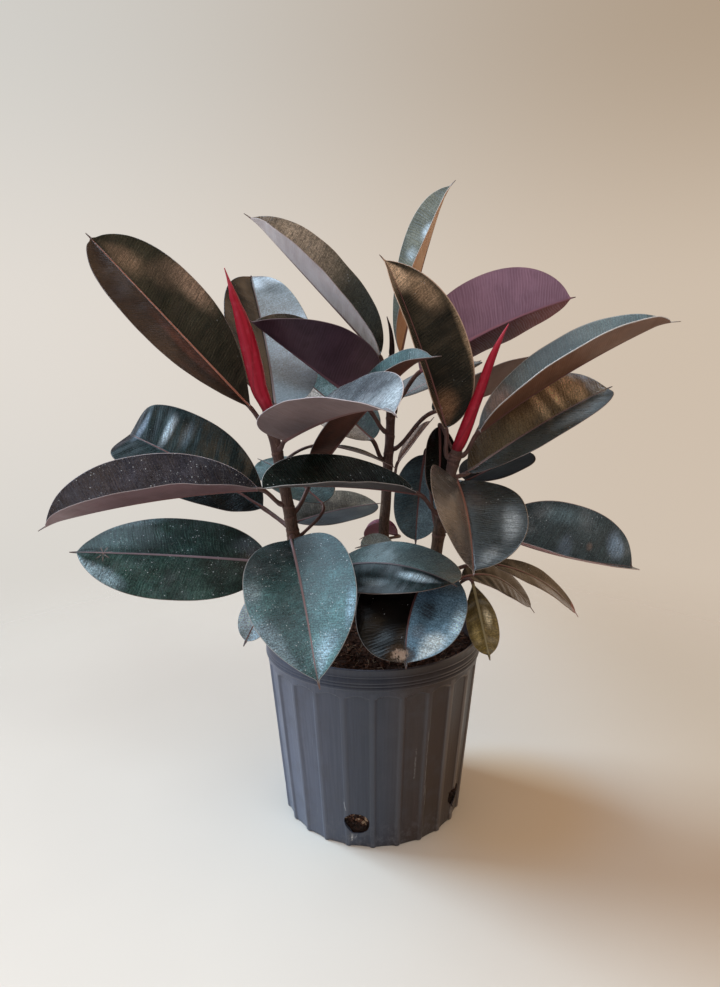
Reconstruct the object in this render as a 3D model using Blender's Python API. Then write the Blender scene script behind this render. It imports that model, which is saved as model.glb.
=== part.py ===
"""A young rubber plant in a fluted nursery pot.

Three woody stems stand in a pot of bark and coir mix. Every leaf is one solid:
its stalk leaves the stem, turns into the midrib, and carries a broad oval blade
that is folded along the midrib and bowed along its length. A pointed sheath
closes the growing bud at the top of each stem.

Frame: +Z up, the origin at the middle of the underside of the pot, -Y the front.
The design below is in millimetres and degrees; the meshes are in metres.
"""

import math

import bmesh
import bpy
import numpy as np

# === design ===
# ---------------------------------------------------------------- pot
POT_HEIGHT = 228.0
RIM_RADIUS = 130.0  # outside of the rim band
RIM_BAND = 24.0  # height of the rim band
RIM_LIP = 2.2  # the wall is this thick at the rim
WALL = 2.4
BASE_RADIUS = 109.5
BODY_TOP_RADIUS = 128.4  # wall just below the rim band
FLUTES = 24
FLUTE_DEPTH = 2.0
FLUTE_TOP = 195.0
FLUTE_FOOT = 2.0
FLOOR = 3.0
HOLES = 5  # drainage holes at the foot of the wall
HOLE_FIRST = -100.0  # azimuth of the front one
HOLE_HEIGHT = 31.0
HOLE_WIDTH = 31.0
HOLE_TALL = 28.0
SOIL_TOP = 205.0
GAP = 0.4  # pieces that touch in life stay this far apart


def wall_radius(z):
    """Outer radius of the wall's ridges at height z."""
    share = min(max(z / (POT_HEIGHT - RIM_BAND), 0.0), 1.0)
    return BASE_RADIUS + (BODY_TOP_RADIUS - BASE_RADIUS) * share


# ---------------------------------------------------------------- stems
# Each row is x, y, z and the radius there. They start inside their sockets.
STEMS = {
    "left": [
        (-83, -10, 178, 7.6),
        (-84, -10, 212, 7.6),
        (-89, -10, 289, 7.2),
        (-92.5, -11, 339, 7.1),
        (-96.5, -12, 370, 6.9),
        (-102.5, -13, 406, 6.6),
        (-107.5, -14, 435, 6.4),
        (-111.5, -15, 459, 6.4),
        (-116, -16, 482, 6.6),
        (-118, -17, 492, 6.8),
    ],
    "middle": [
        (13, 44, 178, 7.2),
        (13.5, 44, 212, 7.2),
        (14.5, 44, 290, 6.8),
        (15, 45, 344, 6.6),
        (17.5, 45, 379, 6.4),
        (20, 45, 428, 5.8),
        (22, 46, 454, 5.5),
        (23, 47, 493, 5.1),
        (23.5, 47, 529, 4.6),
        (24, 48, 552, 3.8),
    ],
    "right": [
        (61, -14, 178, 7.4),
        (63, -15, 212, 7.4),
        (68, -15, 262, 7.2),
        (73, -16, 303, 7.0),
        (77, -17, 340, 6.9),
        (81.5, -18, 378, 6.7),
        (88, -19, 410, 6.4),
        (92.5, -20, 430, 6.4),
        (96.5, -21, 447, 6.4),
    ],
}
# The bud sheaths: same rows. Each starts just above the top of its stem.
SHEATHS = {
    "left": [
        (-118.5, -17, 494.5, 6.6),
        (-121, -17, 502, 7.6),
        (-126, -18, 514, 8.9),
        (-131.5, -19, 540, 9.9),
        (-137, -20, 566, 9.6),
        (-141, -21, 583, 8.6),
        (-145.5, -22, 600, 6.6),
        (-149, -23, 611, 5.0),
        (-151, -23, 617, 4.8),
        (-153.5, -24, 627, 2.9),
        (-156.5, -25, 638, 1.4),
        (-159.5, -26, 648, 0.5),
    ],
    "middle": [
        (24, 48, 554.5, 3.4),
        (24.2, 48, 562, 3.2),
        (23.5, 48, 574, 2.5),
        (21.5, 48, 586, 1.6),
        (18.2, 48, 597.5, 0.5),
    ],
    "right": [
        (97.3, -21.5, 449.5, 6.2),
        (99.5, -22, 455, 6.8),
        (107, -24, 476, 7.1),
        (113, -25.5, 494, 6.4),
        (119, -27, 511, 5.7),
        (126, -29, 533, 5.2),
        (131.5, -31, 550, 4.4),
        (138, -33, 566, 2.9),
        (143, -34, 577, 1.6),
        (148.3, -35, 587, 0.5),
    ],
}

# ---------------------------------------------------------------- leaves
# Each leaf: the stem that carries it and the height where its stalk leaves it;
# the point where the blade starts; the azimuth and elevation of the line from
# there to the tip; the roll about that line (+ lowers the right half); length
# and width; how far the left and right halves fold up from flat; how far the
# midrib bows up and sways right, as a share of the length; and then any of
#   late   bow nearer the tip (+) or the stalk (-)
#   twist  turn of the blade between stalk and tip
#   curl   how much more the margins turn up than the middle of each half
#   hook   millimetres that the tip turns down
#   wide   where along the blade it is widest
#   base   bluntness of the stalk end of the blade, 1 pointed and 2 round
#   tip    bluntness of the other end
#   drip   length of the narrow tip
LEAVES = {
    # left stem, from the top
    "leaf_left_01": ("left", 470, (-141, 0, 495), 175, 47, -51, 262, 110, 31, 26, 0.0, 0.0, {"tip": 2.0, "base": 1.2, "wide": 0.55}),
    "leaf_left_02": ("left", 476, (-115, 22, 496), 112, 56, 14, 188, 126, 16, 18, -0.05, 0.05, {"tip": 2.6, "base": 2.3, "wide": 0.48}),
    "leaf_left_03": ("left", 448, (-97, -32, 461), -58, 13, 9, 230, 122, 36, 27, 0.04, -0.04, {"base": 2.5, "wide": 0.42}),
    "leaf_left_04": ("left", 432, (-44, 26, 446), 0, -21, -3, 80, 28, 10, 10, 0.04, 0.0, {}),
    "leaf_left_05": ("left", 384, (-132, -24, 403), -171, -8, -23, 243, 112, 50, 46, 0.03, 0.01, {"wide": 0.56}),
    "leaf_left_06": ("left", 372, (-70, 5, 410), -35, 44, 20, 218, 96, 38, 26, 0.03, 0.0, {"hook": 6, "base": 1.35}),
    "leaf_left_07": ("left", 356, (-133, 14, 373), 167, 26, -46, 200, 116, 22, 21, 0.05, 0.0, {"wide": 0.56, "tip": 2.4}),
    "leaf_left_08": ("left", 350, (-94, 28, 351), 26, 6, 12, 119, 88, 10, 8, 0.02, -0.02, {}),
    "leaf_left_09": ("left", 345, (-93, -36, 345), -74, -40, 0, 179, 128, 36, 4, 0.05, 0.0, {"wide": 0.44, "tip": 1.3}),
    "leaf_left_10": ("left", 340, (-61, 18, 377), 142, 22, -6, 118, 96, 6, 6, 0.02, 0.04, {}),
    "leaf_left_11": ("left", 319, (-124, -15, 313), -177, 4, -47, 227, 108, -9, -7, 0.02, 0.0, {"wide": 0.48, "tip": 1.7}),
    "leaf_left_12": ("left", 262, (-47, -24, 309), -35, 3, 14, 166, 104, -2, -10, 0.06, -0.06, {"tip": 2.4, "wide": 0.56, "twist": -32}),
    "leaf_left_13": ("left", 246, (-119, -16, 278), -127, -47, -20, 74, 44, 14, 14, 0.03, 0.0, {}),
    # middle stem
    "leaf_middle_01": ("middle", 518, (9, 45, 552), -176, 47, -17, 219, 112, 34, 42, 0.0, 0.0, {}),
    "leaf_middle_02": ("middle", 528, (35, 50, 556), 7, 74, 6, 203, 88, 28, 28, 0.02, 0.0, {"twist": 32}),
    "leaf_middle_03": ("middle", 496, (59, 50, 533), 3, 25, -54, 204, 128, 30, 36, 0.02, 0.04, {"wide": 0.5, "base": 1.45}),
    "leaf_middle_04": ("middle", 482, (34, 57, 501), 33, 18, 0, 136, 88, 6, 6, 0.02, 0.0, {}),
    "leaf_middle_05": ("middle", 460, (-6, 38, 490), -167, 37, 6, 174, 132, 54, 52, 0.0, 0.0, {"wide": 0.4, "tip": 1.5, "twist": -52}),
    "leaf_middle_06": ("middle", 439, (76, 50, 484), 10, 19, -6, 177, 108, 30, 38, -0.02, -0.05, {}),
    "leaf_middle_07": ("middle", 425, (0, 42, 451), 142, 31, -14, 153, 98, 6, 6, 0.02, 0.0, {}),
    "leaf_middle_08": ("middle", 402, (32, 40, 424), -7, 52, 12, 70, 42, 10, 10, 0.02, 0.0, {}),
    "leaf_middle_09": ("middle", 322, (33, 74, 322), 178, -7, 0, 50, 52, 46, 36, 0.12, 0.0, {}),
    "leaf_middle_10": ("middle", 290, (28, 14, 322), -168, 3, -15, 50, 40, 20, 20, 0.08, 0.0, {"tip": 2.0}),
    # right stem
    "leaf_right_01": ("right", 442, (122, -22, 469), -2, 31, -2, 240, 118, 38, 24, 0.03, 0.0, {"wide": 0.53, "tip": 1.8}),
    "leaf_right_02": ("right", 446, (79, 11, 470), -104, -83, -32, 90, 42, 12, 12, 0.06, 0.0, {}),
    "leaf_right_03": ("right", 436, (84, -18, 472), 155, 68, -28, 207, 108, 43, 45, 0.02, 0.01, {"wide": 0.46, "tip": 1.4}),
    "leaf_right_04": ("right", 415, (113, -5, 419), 7, 30, 27, 194, 116, 22, 23, 0.05, 0.02, {"wide": 0.55, "tip": 2.0}),
    "leaf_right_05": ("right", 408, (96, -36, 414), -89, -27, -18, 151, 124, 26, 31, 0.06, 0.0, {}),
    "leaf_right_06": ("right", 396, (112, 4, 407), 35, 15, 5, 108, 84, 6, 6, 0.0, 0.0, {}),
    "leaf_right_07": ("right", 352, (64, 36, 433), -140, -83, -52, 112, 66, 20, 20, 0.02, 0.02, {}),
    "leaf_right_08": ("right", 373, (49, -32, 400), -151, 7, -14, 191, 96, 30, 26, 0.01, 0.05, {}),
    "leaf_right_09": ("right", 351, (140, 10, 345), 3, -15, 35, 189, 130, 46, 48, 0.0, 0.06, {"tip": 2.4}),
    "leaf_right_10": ("right", 301, (76, -35, 321), -111, -37, -8, 143, 120, 4, 4, 0.06, 0.08, {"tip": 2.4, "wide": 0.54}),
    "leaf_right_11": ("right", 293, (145, 10, 303), 8, -33, 23, 136, 44, 4, 4, 0.1, -0.03, {}),
    "leaf_right_12": ("right", 276, (108, -5, 290), 15, -29, 25, 111, 58, 2, 2, 0.08, -0.2, {"wide": 0.58, "tip": 2.0}),
    "leaf_right_13": ("right", 262, (115, -50, 297), -50, -71, 41, 88, 36, 6, 6, 0.03, 0.0, {"wide": 0.58, "base": 1.3}),
}
STALK = 2.7  # radius of the stalks
BLADE = 1.1  # thickness of the blades
DRIP = 9.0
BLUNT = 1.75


def unit(v):
    v = np.asarray(v, float)
    return v / np.linalg.norm(v, axis=-1, keepdims=True)


def turned(v, axis, degrees):
    """v turned about a unit axis."""
    a = math.radians(degrees)
    return v * math.cos(a) + np.cross(axis, v) * math.sin(a) + axis * (axis @ v) * (1 - math.cos(a))


def stem_at(stem, z):
    """Centre, direction and radius of a stem at height z."""
    rows = np.array(STEMS[stem], float)
    centre = np.array([np.interp(z, rows[:, 2], rows[:, 0]), np.interp(z, rows[:, 2], rows[:, 1]), z])
    above = np.array([np.interp(z + 4, rows[:, 2], rows[:, i]) for i in (0, 1)] + [z + 4.0])
    return centre, unit(above - centre), float(np.interp(z, rows[:, 2], rows[:, 3]))


def leaf_frame(leaf):
    """Chord direction, right and up vectors of a leaf."""
    az, el, roll = (math.radians(a) for a in leaf[3:6])
    d = np.array([math.cos(el) * math.cos(az), math.cos(el) * math.sin(az), math.sin(el)])
    up = np.array([-math.sin(el) * math.cos(az), -math.sin(el) * math.sin(az), math.cos(el)])
    right = np.cross(d, up)
    return d, right * math.cos(roll) - up * math.sin(roll), up * math.cos(roll) + right * math.sin(roll)


def midrib(leaf, t):
    """Points of the midrib at the shares t of the length."""
    t = np.atleast_1d(np.asarray(t, float))[:, None]
    d, right, up = leaf_frame(leaf)
    length, bow, sway, more = leaf[6], leaf[10], leaf[11], leaf[12]
    arch = 4 * t * (1 - t) * (1 + more.get("late", 0.0) * (2 * t - 1))
    hook = more.get("hook", 0.0) * np.clip((t - 0.8) / 0.2, 0, None) ** 2
    return np.array(leaf[2], float) + d * length * t + up * (bow * length * arch - hook) + right * sway * length * arch


def blade_frames(leaf, t):
    """Midrib points, with the tangent, right and up vectors there."""
    t = np.atleast_1d(np.asarray(t, float))
    step = 1e-3
    centre = midrib(leaf, t)
    tangent = unit(midrib(leaf, t + step) - midrib(leaf, t - step))
    across = leaf_frame(leaf)[1]
    right = unit(across - tangent * (tangent @ across)[:, None])
    up = np.cross(right, tangent)
    turn = np.radians(leaf[12].get("twist", 0.0)) * (t - 0.5)[:, None]
    return centre, tangent, right * np.cos(turn) - up * np.sin(turn), up * np.cos(turn) + right * np.sin(turn)


def half_width(leaf, t):
    """Half the blade's width, measured along its surface, at t."""
    t = np.asarray(t, float)
    more = leaf[12]
    drip = more.get("drip", DRIP) / leaf[6]
    body = np.clip(t / (1 - 0.8 * drip), 0, 1)
    power = math.log(0.5) / math.log(more.get("wide", 0.5))
    across = 2 * body**power - 1
    blunt = np.where(across < 0, more.get("base", BLUNT), more.get("tip", BLUNT))
    oval = np.clip(1 - np.abs(across) ** 2.25, 0, 1) ** (1 / blunt)
    tip = 2.6 * np.clip((1 - t) / (2.2 * drip), 0, 1) ** 0.8 + 0.5
    return np.sqrt((0.5 * leaf[7] * oval) ** 2 + (tip * np.clip((t - 0.6) / 0.3, 0, 1)) ** 2)


def section(leaf, t, s):
    """Across the blade: sideways and upward shares of the half width, and the
    slope there. s runs from -1 at the left margin to 1 at the right one."""
    s = np.asarray(s, float)
    fold = np.radians(np.where(s < 0, leaf[8], leaf[9]))
    curl = math.radians(leaf[12].get("curl", 0.0)) + 1e-6
    a = fold - 0.5 * curl
    reach = np.abs(s)
    aside = (np.sin(a + curl * reach) - np.sin(a)) / curl
    rise = -(np.cos(a + curl * reach) - np.cos(a)) / curl
    return aside * np.sign(s), rise, (a + curl * reach) * np.sign(s)


def stalk(leaf, count):
    """Centres, tangents, right and up vectors of the stalk's rings, from the
    stem to where the blade starts (left out)."""
    centre, along, radius = stem_at(leaf[0], leaf[1])
    base = np.array(leaf[2], float)
    out = base - centre
    out = unit(out - along * (out @ along))
    start = centre + out * (radius + GAP)
    c0, t0, r0, u0 = (v[0] for v in blade_frames(leaf, 0.0))
    reach = np.linalg.norm(base - start)
    p1 = start + (out * 0.75 + along * 0.45) * 0.33 * reach
    p2 = base - t0 * 0.36 * reach
    w = np.linspace(0, 1, count + 1)[:-1, None]
    points = (1 - w) ** 3 * start + 3 * (1 - w) ** 2 * w * p1 + 3 * (1 - w) * w**2 * p2 + w**3 * base
    slopes = unit(3 * (1 - w) ** 2 * (p1 - start) + 6 * (1 - w) * w * (p2 - p1) + 3 * w**2 * (base - p2))
    slopes[0] = out
    rights, ups = [], []
    right = r0
    for slope in slopes[::-1]:
        right = unit(right - slope * (slope @ right))
        rights.append(right)
        ups.append(np.cross(right, slope))
    return points, slopes, np.array(rights[::-1]), np.array(ups[::-1])


# === end of design ===
LEAF_STATIONS = (0.0, 0.045, 0.15, 0.32, 0.5, 0.68, 0.84, 0.94, 1.0)
STALK_RINGS = 3


def leaf_rings(leaf):
    """Rings of six points: the left, middle and right of the top side, then
    the right, middle and left of the underside."""
    around = np.radians([150, 90, 30, -30, -90, -150])
    points, _, rights, ups = stalk(leaf, STALK_RINGS)
    c, _, r, u = blade_frames(leaf, 0.0)
    rings = []
    for p, right, up in zip(np.vstack([points, c]), np.vstack([rights, r]), np.vstack([ups, u])):
        rings.append(p + STALK * (np.cos(around)[:, None] * right + np.sin(around)[:, None] * up))
    t = np.array(LEAF_STATIONS[1:])
    centre, _, right, up = blade_frames(leaf, t)
    wide = half_width(leaf, t)
    half = BLADE / 2
    for i, share in enumerate(t):
        row = []
        for side, top in ((-1, 1), (0, 1), (1, 1), (1, -1), (0, -1), (-1, -1)):
            if side:
                aside, rise, slope = section(leaf, share, side)
                at = centre[i] + right[i] * aside * wide[i] + up[i] * rise * wide[i]
                face = up[i] * np.cos(slope) - right[i] * np.sin(slope)
                row.append(at + face * half * top)
            else:
                keel = 0.4 if top > 0 else 0.8 + 1.9 * (1 - share)
                row.append(centre[i] + up[i] * keel * top)
        rings.append(np.array(row))
    return rings


def tube_rings(rows, sides):
    """Rings about the centres in rows, each square to the line there."""
    rows = np.array(rows, float)
    centres = rows[:, :3]
    ahead = unit(np.gradient(centres, axis=0))
    rings = []
    for centre, way, radius in zip(centres, ahead, rows[:, 3]):
        right = unit(np.array([1.0, 0.0, 0.0]) - way * way[0])
        back = np.cross(way, right)
        a = np.arange(sides) * 2 * math.pi / sides
        rings.append(centre + radius * (np.cos(a)[:, None] * right + np.sin(a)[:, None] * back))
    return rings


# ---------------------------------------------------------------- solids
for leftover in list(bpy.data.objects):
    bpy.data.objects.remove(leftover, do_unlink=True)
scene = bpy.context.scene
scene.unit_settings.system = "METRIC"
scene.unit_settings.scale_length = 1.0


def paint(name, colour, roughness, metallic=0.0):
    material = bpy.data.materials.new(name)
    material.use_nodes = True
    shader = material.node_tree.nodes["Principled BSDF"]
    shader.inputs["Base Color"].default_value = (*colour, 1.0)
    shader.inputs["Roughness"].default_value = roughness
    shader.inputs["Metallic"].default_value = metallic
    material.diffuse_color = (*colour, 1.0)
    return material


POT_PLASTIC = paint("pot_plastic", (0.055, 0.06, 0.07), 0.5)
SOIL_MIX = paint("soil_mix", (0.045, 0.026, 0.017), 0.95)
BARK = paint("bark", (0.13, 0.062, 0.036), 0.8)
LEAF_SKIN = paint("leaf_skin", (0.022, 0.035, 0.028), 0.3)
SHEATH_RED = paint("sheath_red", (0.42, 0.012, 0.03), 0.38)
SHEATH_BROWN = paint("sheath_brown", (0.06, 0.025, 0.02), 0.45)


def add_object(name, mesh, material):
    obj = bpy.data.objects.new(name, mesh)
    scene.collection.objects.link(obj)
    mesh.materials.append(material)
    return obj


def loft(name, rings, material):
    """One closed solid through rings of equal count, with a cap on each end."""
    bm = bmesh.new()
    rows = [[bm.verts.new(np.asarray(p) / 1000.0) for p in ring] for ring in rings]
    count = len(rows[0])
    for low, high in zip(rows, rows[1:]):
        for i in range(count):
            j = (i + 1) % count
            bm.faces.new((low[i], low[j], high[j], high[i]))
    bm.faces.new(rows[0][::-1])
    bm.faces.new(rows[-1])
    bmesh.ops.triangulate(bm, faces=bm.faces[:])
    if bm.calc_volume(signed=True) < 0:
        bmesh.ops.reverse_faces(bm, faces=bm.faces[:])
    mesh = bpy.data.meshes.new(name)
    bm.to_mesh(mesh)
    bm.free()
    mesh.shade_smooth()
    mesh.set_sharp_from_angle(angle=math.radians(40))
    return add_object(name, mesh, material)


def turned_solid(name, rows, sides, material, bottom_hub=None, top_hub=None):
    """A solid from closed rings of radii. rows holds (z, radius(angle index))."""
    bm = bmesh.new()
    rings = []
    for z, radius in rows:
        ring = []
        for i in range(sides):
            a = 2 * math.pi * i / sides
            r = radius(i) if callable(radius) else radius
            ring.append(bm.verts.new((r * math.cos(a) / 1000, r * math.sin(a) / 1000, z / 1000)))
        rings.append(ring)
    for low, high in zip(rings, rings[1:]):
        for i in range(sides):
            j = (i + 1) % sides
            bm.faces.new((low[i], low[j], high[j], high[i]))
    for ring, hub in ((rings[0], bottom_hub), (rings[-1], top_hub)):
        centre = bm.verts.new((0, 0, hub / 1000))
        for i in range(sides):
            j = (i + 1) % sides
            bm.faces.new((ring[i], ring[j], centre))
    bmesh.ops.recalc_face_normals(bm, faces=bm.faces[:])
    if bm.calc_volume(signed=True) < 0:
        bmesh.ops.reverse_faces(bm, faces=bm.faces[:])
    mesh = bpy.data.meshes.new(name)
    bm.to_mesh(mesh)
    bm.free()
    return add_object(name, mesh, material)


# The pot: up the outside, over the rim, down the inside and across the floor.
POT_SIDES = FLUTES * 4


def fluted(z, depth):
    """Radius round the wall: two points on each ridge, two in each panel."""
    outer = wall_radius(z)
    return lambda i: outer - (depth if i % 4 in (1, 2) else 0.0)


band_foot = POT_HEIGHT - RIM_BAND
pot_rows = [
    (0.0, fluted(0.0, 0.6)),
    (FLUTE_FOOT, fluted(FLUTE_FOOT, FLUTE_DEPTH)),
    (FLUTE_TOP, fluted(FLUTE_TOP, FLUTE_DEPTH)),
    (FLUTE_TOP + 3.0, fluted(FLUTE_TOP + 3.0, 0.0)),
    (band_foot - 1.0, wall_radius(band_foot - 1.0)),
    (band_foot, RIM_RADIUS),
    (POT_HEIGHT, RIM_RADIUS),
    (POT_HEIGHT, RIM_RADIUS - RIM_LIP),
    (band_foot, RIM_RADIUS - RIM_LIP - 1.8),
    (band_foot - 6.0, wall_radius(band_foot - 6.0) - WALL - 0.4),
    (FLOOR, wall_radius(FLOOR) - FLUTE_DEPTH - WALL),
]
pot = turned_solid("pot", pot_rows, POT_SIDES, POT_PLASTIC, 0.0, FLOOR)
pot.data.shade_smooth()
pot.data.set_sharp_from_angle(angle=math.radians(25))


def hole_cutter(index):
    """A rounded D, pointing out through the wall."""
    azimuth = math.radians(HOLE_FIRST + 360.0 / HOLES * index)
    outline = []
    for step in range(14):
        a = 2 * math.pi * (step + 0.5) / 14
        x = HOLE_WIDTH / 2 * math.copysign(abs(math.cos(a)) ** 0.8, math.cos(a))
        y = HOLE_TALL / 2 * math.copysign(abs(math.sin(a)) ** 0.8, math.sin(a))
        outline.append((x, y))
    bm = bmesh.new()
    rings = []
    for reach in (88.0, 125.0):
        ring = []
        for x, y in outline:
            px = reach * math.cos(azimuth) - x * math.sin(azimuth)
            py = reach * math.sin(azimuth) + x * math.cos(azimuth)
            ring.append(bm.verts.new((px / 1000, py / 1000, (HOLE_HEIGHT + y) / 1000)))
        rings.append(ring)
    for i in range(len(outline)):
        j = (i + 1) % len(outline)
        bm.faces.new((rings[0][i], rings[0][j], rings[1][j], rings[1][i]))
    bm.faces.new(rings[0][::-1])
    bm.faces.new(rings[1])
    bmesh.ops.recalc_face_normals(bm, faces=bm.faces[:])
    if bm.calc_volume(signed=True) < 0:
        bmesh.ops.reverse_faces(bm, faces=bm.faces[:])
    mesh = bpy.data.meshes.new(f"hole_cutter_{index}")
    bm.to_mesh(mesh)
    bm.free()
    cutter = bpy.data.objects.new(mesh.name, mesh)
    scene.collection.objects.link(cutter)
    cutter.hide_render = True
    cutter.display_type = "WIRE"
    return cutter


for index in range(HOLES):
    cut = pot.modifiers.new(f"hole_{index}", "BOOLEAN")
    cut.operation = "DIFFERENCE"
    cut.solver = "EXACT"
    cut.object = hole_cutter(index)

# The root ball: it fills the pot, a little clear of the wall and the floor.
SOIL_SIDES = 48


def soil_side(z):
    return wall_radius(z) - FLUTE_DEPTH - WALL - 0.9


soil_rows = [
    (FLOOR + GAP, soil_side(FLOOR) - 0.3),
    (100.0, soil_side(100.0) - 0.3),
    (190.0, soil_side(190.0) - 0.3),
    (SOIL_TOP - 2.0, soil_side(195.0) - 0.3),
    (SOIL_TOP - 1.0, 80.0),
]
soil = turned_solid("soil", soil_rows, SOIL_SIDES, SOIL_MIX, FLOOR + GAP, SOIL_TOP)
soil.data.shade_smooth()
soil.data.set_sharp_from_angle(angle=math.radians(30))

for side, rows in STEMS.items():
    x0, y0, z0, r0 = rows[0]
    x1, y1, z1, r1 = rows[1]
    low = (x0, y0, z0 - 1.5, r0 + 1.0)
    high = (x1 + (x1 - x0) * 0.3, y1 + (y1 - y0) * 0.3, z1 + (z1 - z0) * 0.3, r1 + 1.0)
    cutter = loft(f"socket_cutter_{side}", tube_rings([low, high], 12), SOIL_MIX)
    cutter.hide_render = True
    cutter.display_type = "WIRE"
    cut = soil.modifiers.new(f"socket_{side}", "BOOLEAN")
    cut.operation = "DIFFERENCE"
    cut.solver = "EXACT"
    cut.object = cutter
    loft(f"stem_{side}", tube_rings(rows, 10), BARK)
    loft(f"sheath_{side}", tube_rings(SHEATHS[side], 10), SHEATH_BROWN if side == "middle" else SHEATH_RED)

for name, leaf in LEAVES.items():
    loft(name, leaf_rings(leaf), LEAF_SKIN)
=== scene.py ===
import math

import bpy
import numpy as np
from mathutils import Matrix, Vector


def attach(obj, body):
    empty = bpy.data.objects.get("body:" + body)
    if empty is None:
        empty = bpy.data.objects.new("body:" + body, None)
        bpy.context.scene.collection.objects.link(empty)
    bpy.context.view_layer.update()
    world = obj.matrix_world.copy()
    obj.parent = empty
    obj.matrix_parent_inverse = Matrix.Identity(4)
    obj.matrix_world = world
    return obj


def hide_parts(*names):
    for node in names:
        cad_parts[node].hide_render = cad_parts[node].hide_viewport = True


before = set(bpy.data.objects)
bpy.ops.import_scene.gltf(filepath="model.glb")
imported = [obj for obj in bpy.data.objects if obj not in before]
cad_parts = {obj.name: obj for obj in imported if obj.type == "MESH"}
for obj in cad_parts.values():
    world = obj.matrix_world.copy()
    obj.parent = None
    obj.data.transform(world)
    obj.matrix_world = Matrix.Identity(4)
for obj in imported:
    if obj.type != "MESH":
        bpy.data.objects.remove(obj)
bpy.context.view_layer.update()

# The plant and its pot are laid out here as the CAD lays them out: millimetres
# and degrees, +Z up, the pot's axis at the origin.
# === design ===
# ---------------------------------------------------------------- pot
POT_HEIGHT = 228.0
RIM_RADIUS = 130.0  # outside of the rim band
RIM_BAND = 24.0  # height of the rim band
RIM_LIP = 2.2  # the wall is this thick at the rim
WALL = 2.4
BASE_RADIUS = 109.5
BODY_TOP_RADIUS = 128.4  # wall just below the rim band
FLUTES = 24
FLUTE_DEPTH = 2.0
FLUTE_TOP = 195.0
FLUTE_FOOT = 2.0
FLOOR = 3.0
HOLES = 5  # drainage holes at the foot of the wall
HOLE_FIRST = -100.0  # azimuth of the front one
HOLE_HEIGHT = 31.0
HOLE_WIDTH = 31.0
HOLE_TALL = 28.0
SOIL_TOP = 205.0
GAP = 0.4  # pieces that touch in life stay this far apart


def wall_radius(z):
    """Outer radius of the wall's ridges at height z."""
    share = min(max(z / (POT_HEIGHT - RIM_BAND), 0.0), 1.0)
    return BASE_RADIUS + (BODY_TOP_RADIUS - BASE_RADIUS) * share


# ---------------------------------------------------------------- stems
# Each row is x, y, z and the radius there. They start inside their sockets.
STEMS = {
    "left": [
        (-83, -10, 178, 7.6),
        (-84, -10, 212, 7.6),
        (-89, -10, 289, 7.2),
        (-92.5, -11, 339, 7.1),
        (-96.5, -12, 370, 6.9),
        (-102.5, -13, 406, 6.6),
        (-107.5, -14, 435, 6.4),
        (-111.5, -15, 459, 6.4),
        (-116, -16, 482, 6.6),
        (-118, -17, 492, 6.8),
    ],
    "middle": [
        (13, 44, 178, 7.2),
        (13.5, 44, 212, 7.2),
        (14.5, 44, 290, 6.8),
        (15, 45, 344, 6.6),
        (17.5, 45, 379, 6.4),
        (20, 45, 428, 5.8),
        (22, 46, 454, 5.5),
        (23, 47, 493, 5.1),
        (23.5, 47, 529, 4.6),
        (24, 48, 552, 3.8),
    ],
    "right": [
        (61, -14, 178, 7.4),
        (63, -15, 212, 7.4),
        (68, -15, 262, 7.2),
        (73, -16, 303, 7.0),
        (77, -17, 340, 6.9),
        (81.5, -18, 378, 6.7),
        (88, -19, 410, 6.4),
        (92.5, -20, 430, 6.4),
        (96.5, -21, 447, 6.4),
    ],
}
# The bud sheaths: same rows. Each starts just above the top of its stem.
SHEATHS = {
    "left": [
        (-118.5, -17, 494.5, 6.6),
        (-121, -17, 502, 7.6),
        (-126, -18, 514, 8.9),
        (-131.5, -19, 540, 9.9),
        (-137, -20, 566, 9.6),
        (-141, -21, 583, 8.6),
        (-145.5, -22, 600, 6.6),
        (-149, -23, 611, 5.0),
        (-151, -23, 617, 4.8),
        (-153.5, -24, 627, 2.9),
        (-156.5, -25, 638, 1.4),
        (-159.5, -26, 648, 0.5),
    ],
    "middle": [
        (24, 48, 554.5, 3.4),
        (24.2, 48, 562, 3.2),
        (23.5, 48, 574, 2.5),
        (21.5, 48, 586, 1.6),
        (18.2, 48, 597.5, 0.5),
    ],
    "right": [
        (97.3, -21.5, 449.5, 6.2),
        (99.5, -22, 455, 6.8),
        (107, -24, 476, 7.1),
        (113, -25.5, 494, 6.4),
        (119, -27, 511, 5.7),
        (126, -29, 533, 5.2),
        (131.5, -31, 550, 4.4),
        (138, -33, 566, 2.9),
        (143, -34, 577, 1.6),
        (148.3, -35, 587, 0.5),
    ],
}

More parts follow.
